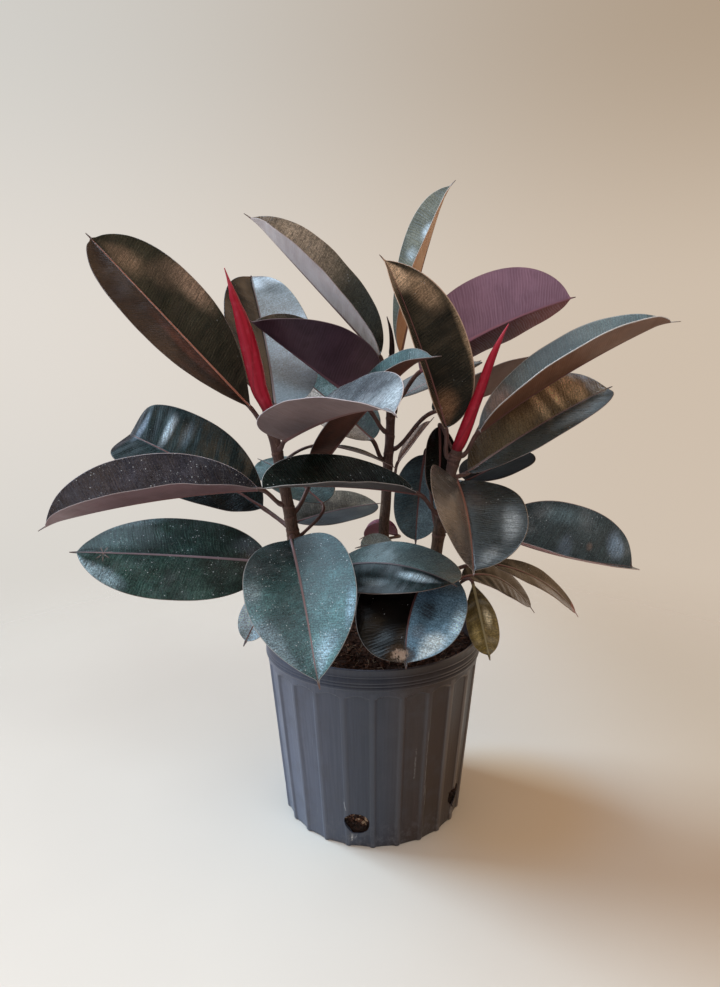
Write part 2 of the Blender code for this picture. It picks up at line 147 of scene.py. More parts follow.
# ---------------------------------------------------------------- leaves
# Each leaf: the stem that carries it and the height where its stalk leaves it;
# the point where the blade starts; the azimuth and elevation of the line from
# there to the tip; the roll about that line (+ lowers the right half); length
# and width; how far the left and right halves fold up from flat; how far the
# midrib bows up and sways right, as a share of the length; and then any of
#   late   bow nearer the tip (+) or the stalk (-)
#   twist  turn of the blade between stalk and tip
#   curl   how much more the margins turn up than the middle of each half
#   hook   millimetres that the tip turns down
#   wide   where along the blade it is widest
#   base   bluntness of the stalk end of the blade, 1 pointed and 2 round
#   tip    bluntness of the other end
#   drip   length of the narrow tip
LEAVES = {
    # left stem, from the top
    "leaf_left_01": ("left", 470, (-141, 0, 495), 175, 47, -51, 262, 110, 31, 26, 0.0, 0.0, {"tip": 2.0, "base": 1.2, "wide": 0.55}),
    "leaf_left_02": ("left", 476, (-115, 22, 496), 112, 56, 14, 188, 126, 16, 18, -0.05, 0.05, {"tip": 2.6, "base": 2.3, "wide": 0.48}),
    "leaf_left_03": ("left", 448, (-97, -32, 461), -58, 13, 9, 230, 122, 36, 27, 0.04, -0.04, {"base": 2.5, "wide": 0.42}),
    "leaf_left_04": ("left", 432, (-44, 26, 446), 0, -21, -3, 80, 28, 10, 10, 0.04, 0.0, {}),
    "leaf_left_05": ("left", 384, (-132, -24, 403), -171, -8, -23, 243, 112, 50, 46, 0.03, 0.01, {"wide": 0.56}),
    "leaf_left_06": ("left", 372, (-70, 5, 410), -35, 44, 20, 218, 96, 38, 26, 0.03, 0.0, {"hook": 6, "base": 1.35}),
    "leaf_left_07": ("left", 356, (-133, 14, 373), 167, 26, -46, 200, 116, 22, 21, 0.05, 0.0, {"wide": 0.56, "tip": 2.4}),
    "leaf_left_08": ("left", 350, (-94, 28, 351), 26, 6, 12, 119, 88, 10, 8, 0.02, -0.02, {}),
    "leaf_left_09": ("left", 345, (-93, -36, 345), -74, -40, 0, 179, 128, 36, 4, 0.05, 0.0, {"wide": 0.44, "tip": 1.3}),
    "leaf_left_10": ("left", 340, (-61, 18, 377), 142, 22, -6, 118, 96, 6, 6, 0.02, 0.04, {}),
    "leaf_left_11": ("left", 319, (-124, -15, 313), -177, 4, -47, 227, 108, -9, -7, 0.02, 0.0, {"wide": 0.48, "tip": 1.7}),
    "leaf_left_12": ("left", 262, (-47, -24, 309), -35, 3, 14, 166, 104, -2, -10, 0.06, -0.06, {"tip": 2.4, "wide": 0.56, "twist": -32}),
    "leaf_left_13": ("left", 246, (-119, -16, 278), -127, -47, -20, 74, 44, 14, 14, 0.03, 0.0, {}),
    # middle stem
    "leaf_middle_01": ("middle", 518, (9, 45, 552), -176, 47, -17, 219, 112, 34, 42, 0.0, 0.0, {}),
    "leaf_middle_02": ("middle", 528, (35, 50, 556), 7, 74, 6, 203, 88, 28, 28, 0.02, 0.0, {"twist": 32}),
    "leaf_middle_03": ("middle", 496, (59, 50, 533), 3, 25, -54, 204, 128, 30, 36, 0.02, 0.04, {"wide": 0.5, "base": 1.45}),
    "leaf_middle_04": ("middle", 482, (34, 57, 501), 33, 18, 0, 136, 88, 6, 6, 0.02, 0.0, {}),
    "leaf_middle_05": ("middle", 460, (-6, 38, 490), -167, 37, 6, 174, 132, 54, 52, 0.0, 0.0, {"wide": 0.4, "tip": 1.5, "twist": -52}),
    "leaf_middle_06": ("middle", 439, (76, 50, 484), 10, 19, -6, 177, 108, 30, 38, -0.02, -0.05, {}),
    "leaf_middle_07": ("middle", 425, (0, 42, 451), 142, 31, -14, 153, 98, 6, 6, 0.02, 0.0, {}),
    "leaf_middle_08": ("middle", 402, (32, 40, 424), -7, 52, 12, 70, 42, 10, 10, 0.02, 0.0, {}),
    "leaf_middle_09": ("middle", 322, (33, 74, 322), 178, -7, 0, 50, 52, 46, 36, 0.12, 0.0, {}),
    "leaf_middle_10": ("middle", 290, (28, 14, 322), -168, 3, -15, 50, 40, 20, 20, 0.08, 0.0, {"tip": 2.0}),
    # right stem
    "leaf_right_01": ("right", 442, (122, -22, 469), -2, 31, -2, 240, 118, 38, 24, 0.03, 0.0, {"wide": 0.53, "tip": 1.8}),
    "leaf_right_02": ("right", 446, (79, 11, 470), -104, -83, -32, 90, 42, 12, 12, 0.06, 0.0, {}),
    "leaf_right_03": ("right", 436, (84, -18, 472), 155, 68, -28, 207, 108, 43, 45, 0.02, 0.01, {"wide": 0.46, "tip": 1.4}),
    "leaf_right_04": ("right", 415, (113, -5, 419), 7, 30, 27, 194, 116, 22, 23, 0.05, 0.02, {"wide": 0.55, "tip": 2.0}),
    "leaf_right_05": ("right", 408, (96, -36, 414), -89, -27, -18, 151, 124, 26, 31, 0.06, 0.0, {}),
    "leaf_right_06": ("right", 396, (112, 4, 407), 35, 15, 5, 108, 84, 6, 6, 0.0, 0.0, {}),
    "leaf_right_07": ("right", 352, (64, 36, 433), -140, -83, -52, 112, 66, 20, 20, 0.02, 0.02, {}),
    "leaf_right_08": ("right", 373, (49, -32, 400), -151, 7, -14, 191, 96, 30, 26, 0.01, 0.05, {}),
    "leaf_right_09": ("right", 351, (140, 10, 345), 3, -15, 35, 189, 130, 46, 48, 0.0, 0.06, {"tip": 2.4}),
    "leaf_right_10": ("right", 301, (76, -35, 321), -111, -37, -8, 143, 120, 4, 4, 0.06, 0.08, {"tip": 2.4, "wide": 0.54}),
    "leaf_right_11": ("right", 293, (145, 10, 303), 8, -33, 23, 136, 44, 4, 4, 0.1, -0.03, {}),
    "leaf_right_12": ("right", 276, (108, -5, 290), 15, -29, 25, 111, 58, 2, 2, 0.08, -0.2, {"wide": 0.58, "tip": 2.0}),
    "leaf_right_13": ("right", 262, (115, -50, 297), -50, -71, 41, 88, 36, 6, 6, 0.03, 0.0, {"wide": 0.58, "base": 1.3}),
}
STALK = 2.7  # radius of the stalks
BLADE = 1.1  # thickness of the blades
DRIP = 9.0
BLUNT = 1.75


def unit(v):
    v = np.asarray(v, float)
    return v / np.linalg.norm(v, axis=-1, keepdims=True)


def turned(v, axis, degrees):
    """v turned about a unit axis."""
    a = math.radians(degrees)
    return v * math.cos(a) + np.cross(axis, v) * math.sin(a) + axis * (axis @ v) * (1 - math.cos(a))


def stem_at(stem, z):
    """Centre, direction and radius of a stem at height z."""
    rows = np.array(STEMS[stem], float)
    centre = np.array([np.interp(z, rows[:, 2], rows[:, 0]), np.interp(z, rows[:, 2], rows[:, 1]), z])
    above = np.array([np.interp(z + 4, rows[:, 2], rows[:, i]) for i in (0, 1)] + [z + 4.0])
    return centre, unit(above - centre), float(np.interp(z, rows[:, 2], rows[:, 3]))


def leaf_frame(leaf):
    """Chord direction, right and up vectors of a leaf."""
    az, el, roll = (math.radians(a) for a in leaf[3:6])
    d = np.array([math.cos(el) * math.cos(az), math.cos(el) * math.sin(az), math.sin(el)])
    up = np.array([-math.sin(el) * math.cos(az), -math.sin(el) * math.sin(az), math.cos(el)])
    right = np.cross(d, up)
    return d, right * math.cos(roll) - up * math.sin(roll), up * math.cos(roll) + right * math.sin(roll)


def midrib(leaf, t):
    """Points of the midrib at the shares t of the length."""
    t = np.atleast_1d(np.asarray(t, float))[:, None]
    d, right, up = leaf_frame(leaf)
    length, bow, sway, more = leaf[6], leaf[10], leaf[11], leaf[12]
    arch = 4 * t * (1 - t) * (1 + more.get("late", 0.0) * (2 * t - 1))
    hook = more.get("hook", 0.0) * np.clip((t - 0.8) / 0.2, 0, None) ** 2
    return np.array(leaf[2], float) + d * length * t + up * (bow * length * arch - hook) + right * sway * length * arch


def blade_frames(leaf, t):
    """Midrib points, with the tangent, right and up vectors there."""
    t = np.atleast_1d(np.asarray(t, float))
    step = 1e-3
    centre = midrib(leaf, t)
    tangent = unit(midrib(leaf, t + step) - midrib(leaf, t - step))
    across = leaf_frame(leaf)[1]
    right = unit(across - tangent * (tangent @ across)[:, None])
    up = np.cross(right, tangent)
    turn = np.radians(leaf[12].get("twist", 0.0)) * (t - 0.5)[:, None]
    return centre, tangent, right * np.cos(turn) - up * np.sin(turn), up * np.cos(turn) + right * np.sin(turn)


def half_width(leaf, t):
    """Half the blade's width, measured along its surface, at t."""
    t = np.asarray(t, float)
    more = leaf[12]
    drip = more.get("drip", DRIP) / leaf[6]
    body = np.clip(t / (1 - 0.8 * drip), 0, 1)
    power = math.log(0.5) / math.log(more.get("wide", 0.5))
    across = 2 * body**power - 1
    blunt = np.where(across < 0, more.get("base", BLUNT), more.get("tip", BLUNT))
    oval = np.clip(1 - np.abs(across) ** 2.25, 0, 1) ** (1 / blunt)
    tip = 2.6 * np.clip((1 - t) / (2.2 * drip), 0, 1) ** 0.8 + 0.5
    return np.sqrt((0.5 * leaf[7] * oval) ** 2 + (tip * np.clip((t - 0.6) / 0.3, 0, 1)) ** 2)


def section(leaf, t, s):
    """Across the blade: sideways and upward shares of the half width, and the
    slope there. s runs from -1 at the left margin to 1 at the right one."""
    s = np.asarray(s, float)
    fold = np.radians(np.where(s < 0, leaf[8], leaf[9]))
    curl = math.radians(leaf[12].get("curl", 0.0)) + 1e-6
    a = fold - 0.5 * curl
    reach = np.abs(s)
    aside = (np.sin(a + curl * reach) - np.sin(a)) / curl
    rise = -(np.cos(a + curl * reach) - np.cos(a)) / curl
    return aside * np.sign(s), rise, (a + curl * reach) * np.sign(s)


def stalk(leaf, count):
    """Centres, tangents, right and up vectors of the stalk's rings, from the
    stem to where the blade starts (left out)."""
    centre, along, radius = stem_at(leaf[0], leaf[1])
    base = np.array(leaf[2], float)
    out = base - centre
    out = unit(out - along * (out @ along))
    start = centre + out * (radius + GAP)
    c0, t0, r0, u0 = (v[0] for v in blade_frames(leaf, 0.0))
    reach = np.linalg.norm(base - start)
    p1 = start + (out * 0.75 + along * 0.45) * 0.33 * reach
    p2 = base - t0 * 0.36 * reach
    w = np.linspace(0, 1, count + 1)[:-1, None]
    points = (1 - w) ** 3 * start + 3 * (1 - w) ** 2 * w * p1 + 3 * (1 - w) * w**2 * p2 + w**3 * base
    slopes = unit(3 * (1 - w) ** 2 * (p1 - start) + 6 * (1 - w) * w * (p2 - p1) + 3 * w**2 * (base - p2))
    slopes[0] = out
    rights, ups = [], []
    right = r0
    for slope in slopes[::-1]:
        right = unit(right - slope * (slope @ right))
        rights.append(right)
        ups.append(np.cross(right, slope))
    return points, slopes, np.array(rights[::-1]), np.array(ups[::-1])


# === end of design ===

MM = 0.001


# ---------------------------------------------------------------- camera
def set_camera():
    """The photograph's view: 760 pixels of focal length in a frame 720 by 987."""
    yaw, pitch, roll = (math.radians(a) for a in (-0.93, 11.7, -0.32))
    ahead = Vector((math.sin(yaw) * math.cos(pitch), math.cos(yaw) * math.cos(pitch), -math.sin(pitch)))
    right = ahead.cross(Vector((0, 0, 1))).normalized()
    up = right.cross(ahead)
    c, s = math.cos(roll), math.sin(roll)
    right, up = right * c + up * s, up * c - right * s
    data = bpy.data.cameras.new("camera")
    data.sensor_fit = "AUTO"
    data.sensor_width = 36.0
    data.lens = 36.0 * 760.0 / 987.0
    data.clip_start, data.clip_end = 0.02, 60.0
    camera = bpy.data.objects.new("camera", data)
    bpy.context.scene.collection.objects.link(camera)
    basis = Matrix((right, up, -ahead)).transposed().to_4x4()
    camera.matrix_world = Matrix.Translation((0.0, -0.88, 0.575)) @ basis
    bpy.context.scene.camera = camera


set_camera()


# ---------------------------------------------------------------- node trees
class Tree:
    """A small writer of shader node trees. Values may be numbers, tuples or sockets."""

    def __init__(self, tree):
        self.tree = tree
        tree.nodes.clear()

    def put(self, kind, inputs=None, **settings):
        node = self.tree.nodes.new(kind)
        for key, value in settings.items():
            setattr(node, key, value)
        for key, value in (inputs or {}).items():
            self.feed(node.inputs[key], value)
        return node

    def feed(self, socket, value):
        if isinstance(value, bpy.types.NodeSocket):
            self.tree.links.new(value, socket)
        elif isinstance(value, (tuple, list)):
            if socket.type == "RGBA" and len(value) == 3:
                value = (*value, 1.0)
            socket.default_value = value
        else:
            socket.default_value = value

    def math(self, operation, a, b=0.0, c=None, clamp=False):
        values = {0: a, 1: b}
        if c is not None:
            values[2] = c
        return self.put("ShaderNodeMath", values, operation=operation, use_clamp=clamp).outputs[0]

    def add(self, a, b):
        return self.math("ADD", a, b)

    def mul(self, a, b):
        return self.math("MULTIPLY", a, b)

    def sub(self, a, b):
        return self.math("SUBTRACT", a, b)

    def step(self, value, low, high, to_low=0.0, to_high=1.0):
        """A smooth step from to_low at low to to_high at high."""
        if isinstance(low, (int, float)) and isinstance(high, (int, float)) and low > high:
            low, high, to_low, to_high = high, low, to_high, to_low
        return self.put(
            "ShaderNodeMapRange",
            {"Value": value, "From Min": low, "From Max": high, "To Min": to_low, "To Max": to_high},
            interpolation_type="SMOOTHSTEP",
        ).outputs["Result"]

    def mix(self, share, a, b, blend="MIX"):
        node = self.tree.nodes.new("ShaderNodeMix")
        node.data_type = "RGBA"
        node.blend_type = blend
        node.clamp_factor = True
        for socket in node.inputs:
            if socket.identifier == "Factor_Float":
                self.feed(socket, share)
            elif socket.identifier == "A_Color":
                self.feed(socket, a)
            elif socket.identifier == "B_Color":
                self.feed(socket, b)
        return next(s for s in node.outputs if s.identifier == "Result_Color")

    def vector(self, x, y, z):
        return self.put("ShaderNodeCombineXYZ", {0: x, 1: y, 2: z}).outputs[0]

    def split(self, vector):
        return self.put("ShaderNodeSeparateXYZ", {0: vector}).outputs

    def noise(self, vector, scale=1.0, detail=3.0, rough=0.55, distortion=0.0):
        return self.put(
            "ShaderNodeTexNoise",
            {"Vector": vector, "Scale": scale, "Detail": detail, "Roughness": rough, "Distortion": distortion},
        ).outputs[0]

    def cells(self, vector, scale=1.0, feature="F1"):
        node = self.put("ShaderNodeTexVoronoi", {"Vector": vector, "Scale": scale}, feature=feature)
        return node.outputs["Distance"], node.outputs["Color"]

    def attribute(self, name, output="Vector"):
        return self.put("ShaderNodeAttribute", attribute_name=name).outputs[output]

    def place(self, scale=1000.0):
        """Object coordinates in millimetres."""
        point = self.put("ShaderNodeTexCoord").outputs["Object"]
        return self.put("ShaderNodeVectorMath", {0: point, "Scale": scale}, operation="SCALE").outputs[0]

    def bump(self, height_mm, strength=1.0):
        return self.put(
            "ShaderNodeBump", {"Strength": strength, "Distance": MM, "Height": height_mm}
        ).outputs["Normal"]

    def surface(self, **values):
        shader = self.put("ShaderNodeBsdfPrincipled")
        for key, value in values.items():
            self.feed(shader.inputs[key.replace("_", " ")], value)
        out = self.put("ShaderNodeOutputMaterial")
        self.tree.links.new(shader.outputs[0], out.inputs[0])
        return shader


def new_material(name):
    material = bpy.data.materials.new(name)
    material.use_nodes = True
    return material, Tree(material.node_tree)


# ---------------------------------------------------------------- meshes
def new_piece(name, points, faces, material, node=None, attributes=None, smooth=True):
    """A mesh piece from points in millimetres, which rides on the pot's body."""
    mesh = bpy.data.meshes.new(name)
    mesh.from_pydata((np.asarray(points, float) * MM).tolist(), [], [list(map(int, f)) for f in faces])
    mesh.validate()
    for key, values in (attributes or {}).items():
        values = np.asarray(values, np.float32)
        kind = "FLOAT_VECTOR" if values.ndim == 2 else "FLOAT"
        layer = mesh.attributes.new(key, kind, "POINT")
        layer.data.foreach_set("vector" if values.ndim == 2 else "value", values.ravel())
    mesh.materials.append(material)
    mesh.polygons.foreach_set("use_smooth", [smooth] * len(mesh.polygons))
    obj = bpy.data.objects.new(name, mesh)
    bpy.context.scene.collection.objects.link(obj)
    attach(obj, "root")
    if node:
        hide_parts(node)
    return obj


def tube_faces(rings, count, first_cap=True, last_cap=True, start=0):
    """Quads through rings of equal count. The caps are fans about two more
    points, which follow the rings: the first ring's hub, then the last one's."""
    i = np.arange(rings - 1)[:, None] * count
    j = np.arange(count)[None, :]
    k = (j + 1) % count
    quads = np.stack([i + j, i + k, i + count + k, i + count + j], -1).reshape(-1, 4) + start
    faces = quads.tolist()
    hub = start + rings * count
    for there, ring, flip in ((first_cap, 0, True), (last_cap, rings - 1, False)):
        if not there:
            continue
        base = start + ring * count
        for n in range(count):
            a, b = base + n, base + (n + 1) % count
            faces.append([b, a, hub] if flip else [a, b, hub])
        hub += 1
    return faces


def outward(points, faces):
    """The faces, turned to look outward if they look inward."""
    points = np.asarray(points, float)
    total = 0.0
    for size in (3, 4):
        some = np.array([f for f in faces if len(f) == size], int)
        if len(some):
            a, b, c = points[some[:, 0]], points[some[:, 1]], points[some[:, 2]]
            total += np.einsum("ij,ij->", a, np.cross(b, c))
            if size == 4:
                d = points[some[:, 3]]
                total += np.einsum("ij,ij->", a, np.cross(c, d))
    return faces if total > 0 else [f[::-1] for f in faces]


def smoothstep(x, low=0.0, high=1.0):
    x = np.clip((np.asarray(x, float) - low) / (high - low), 0, 1)
    return x * x * (3 - 2 * x)


def waves(seed, shortest, longest, count=7):
    """A smooth random field of two coordinates in millimetres, about -1 to 1."""
    rng = np.random.default_rng(seed)
    way = rng.uniform(0, 2 * math.pi, count)
    size = np.exp(rng.uniform(math.log(shortest), math.log(longest), count))
    phase = rng.uniform(0, 2 * math.pi, count)
    heft = size / size.max()
    heft /= np.sqrt((heft**2).sum() / 2) * 1.6

    def field(x, y):
        total = 0.0
        for w, s, p, h in zip(way, size, phase, heft):
            total = total + h * np.sin(2 * math.pi * (x * math.cos(w) + y * math.sin(w)) / s + p)
        return total

    return field


def swell(a, b, soft):
    """The larger of two heights, with a soft fillet between them."""
    return (a + b + np.sqrt((a - b) ** 2 + soft**2) - soft) / 2


# ---------------------------------------------------------------- leaves
# How each leaf looks. Colours are linear. The first entry of a leaf names the
# family it starts from, and what follows changes it. Halves and patches are
# told apart by the share of the leaf's length, from stalk to tip, and by the
# distance across it, from -1 at one margin to 1 at the other. The colours and
# lightness factors of the halves paint the light, shade and reflection that
# each half gets; most patches are painted highlights, reflections and shade.
FAMILIES = {
    "dark": dict(top=(0.018, 0.025, 0.020), top2=(0.034, 0.032, 0.024), vein=(0.060, 0.066, 0.058)),
    "teal": dict(top=(0.026, 0.066, 0.070), top2=(0.036, 0.086, 0.088), vein=(0.080, 0.145, 0.150)),
    "green": dict(top=(0.015, 0.046, 0.036), top2=(0.026, 0.068, 0.052), vein=(0.070, 0.130, 0.110)),
    "bronze": dict(top=(0.020, 0.022, 0.013), top2=(0.046, 0.036, 0.022), vein=(0.070, 0.050, 0.034)),
    "grey": dict(top=(0.080, 0.100, 0.104), top2=(0.120, 0.145, 0.150), vein=(0.180, 0.205, 0.215)),
    "olive": dict(top=(0.060, 0.047, 0.016), top2=(0.120, 0.085, 0.032), vein=(0.150, 0.110, 0.048)),
}
PLAIN = dict(
    minus=None,
    plus=None,
    under=(0.150, 0.075, 0.070),
    under2=(0.110, 0.052, 0.048),
    under_vein=(0.230, 0.140, 0.130),
    under_minus=None,
    under_plus=None,
    rib=(0.170, 0.070, 0.065),
    rib_under=(0.230, 0.100, 0.090),
    stalk=(0.120, 0.060, 0.050),
    rim=(0.300, 0.220, 0.200),
    rim_share=0.6,
    vein_share=0.55,
    haze=0.25,
    haze_colour=(0.160, 0.205, 0.225),
    specks=0.25,
    gloss=0.25,
    under_gloss=0.50,
    spec=0.6,
    zone=0.5,
    tip_colour=(0.090, 0.040, 0.028),
    tip_reach=0.965,
    ripple=0.10,
    dents=0.55,
    frill=0.7,
    relief=1.0,
    flick=(0.0, 0.0, 0.0),
    shape={},
    grain=1.0,
    rim_wide=0.95,
    rim_side=0,
    half_painted_light=(1.0, 1.0),
    patches=(),
    scar=None,
)
PALE_BLUE = (0.30, 0.38, 0.46)
# The colour of the painted gold highlights on leaf_right_04.
PAINTED_GOLD_HIGHLIGHT = (0.98, 0.68, 0.38)
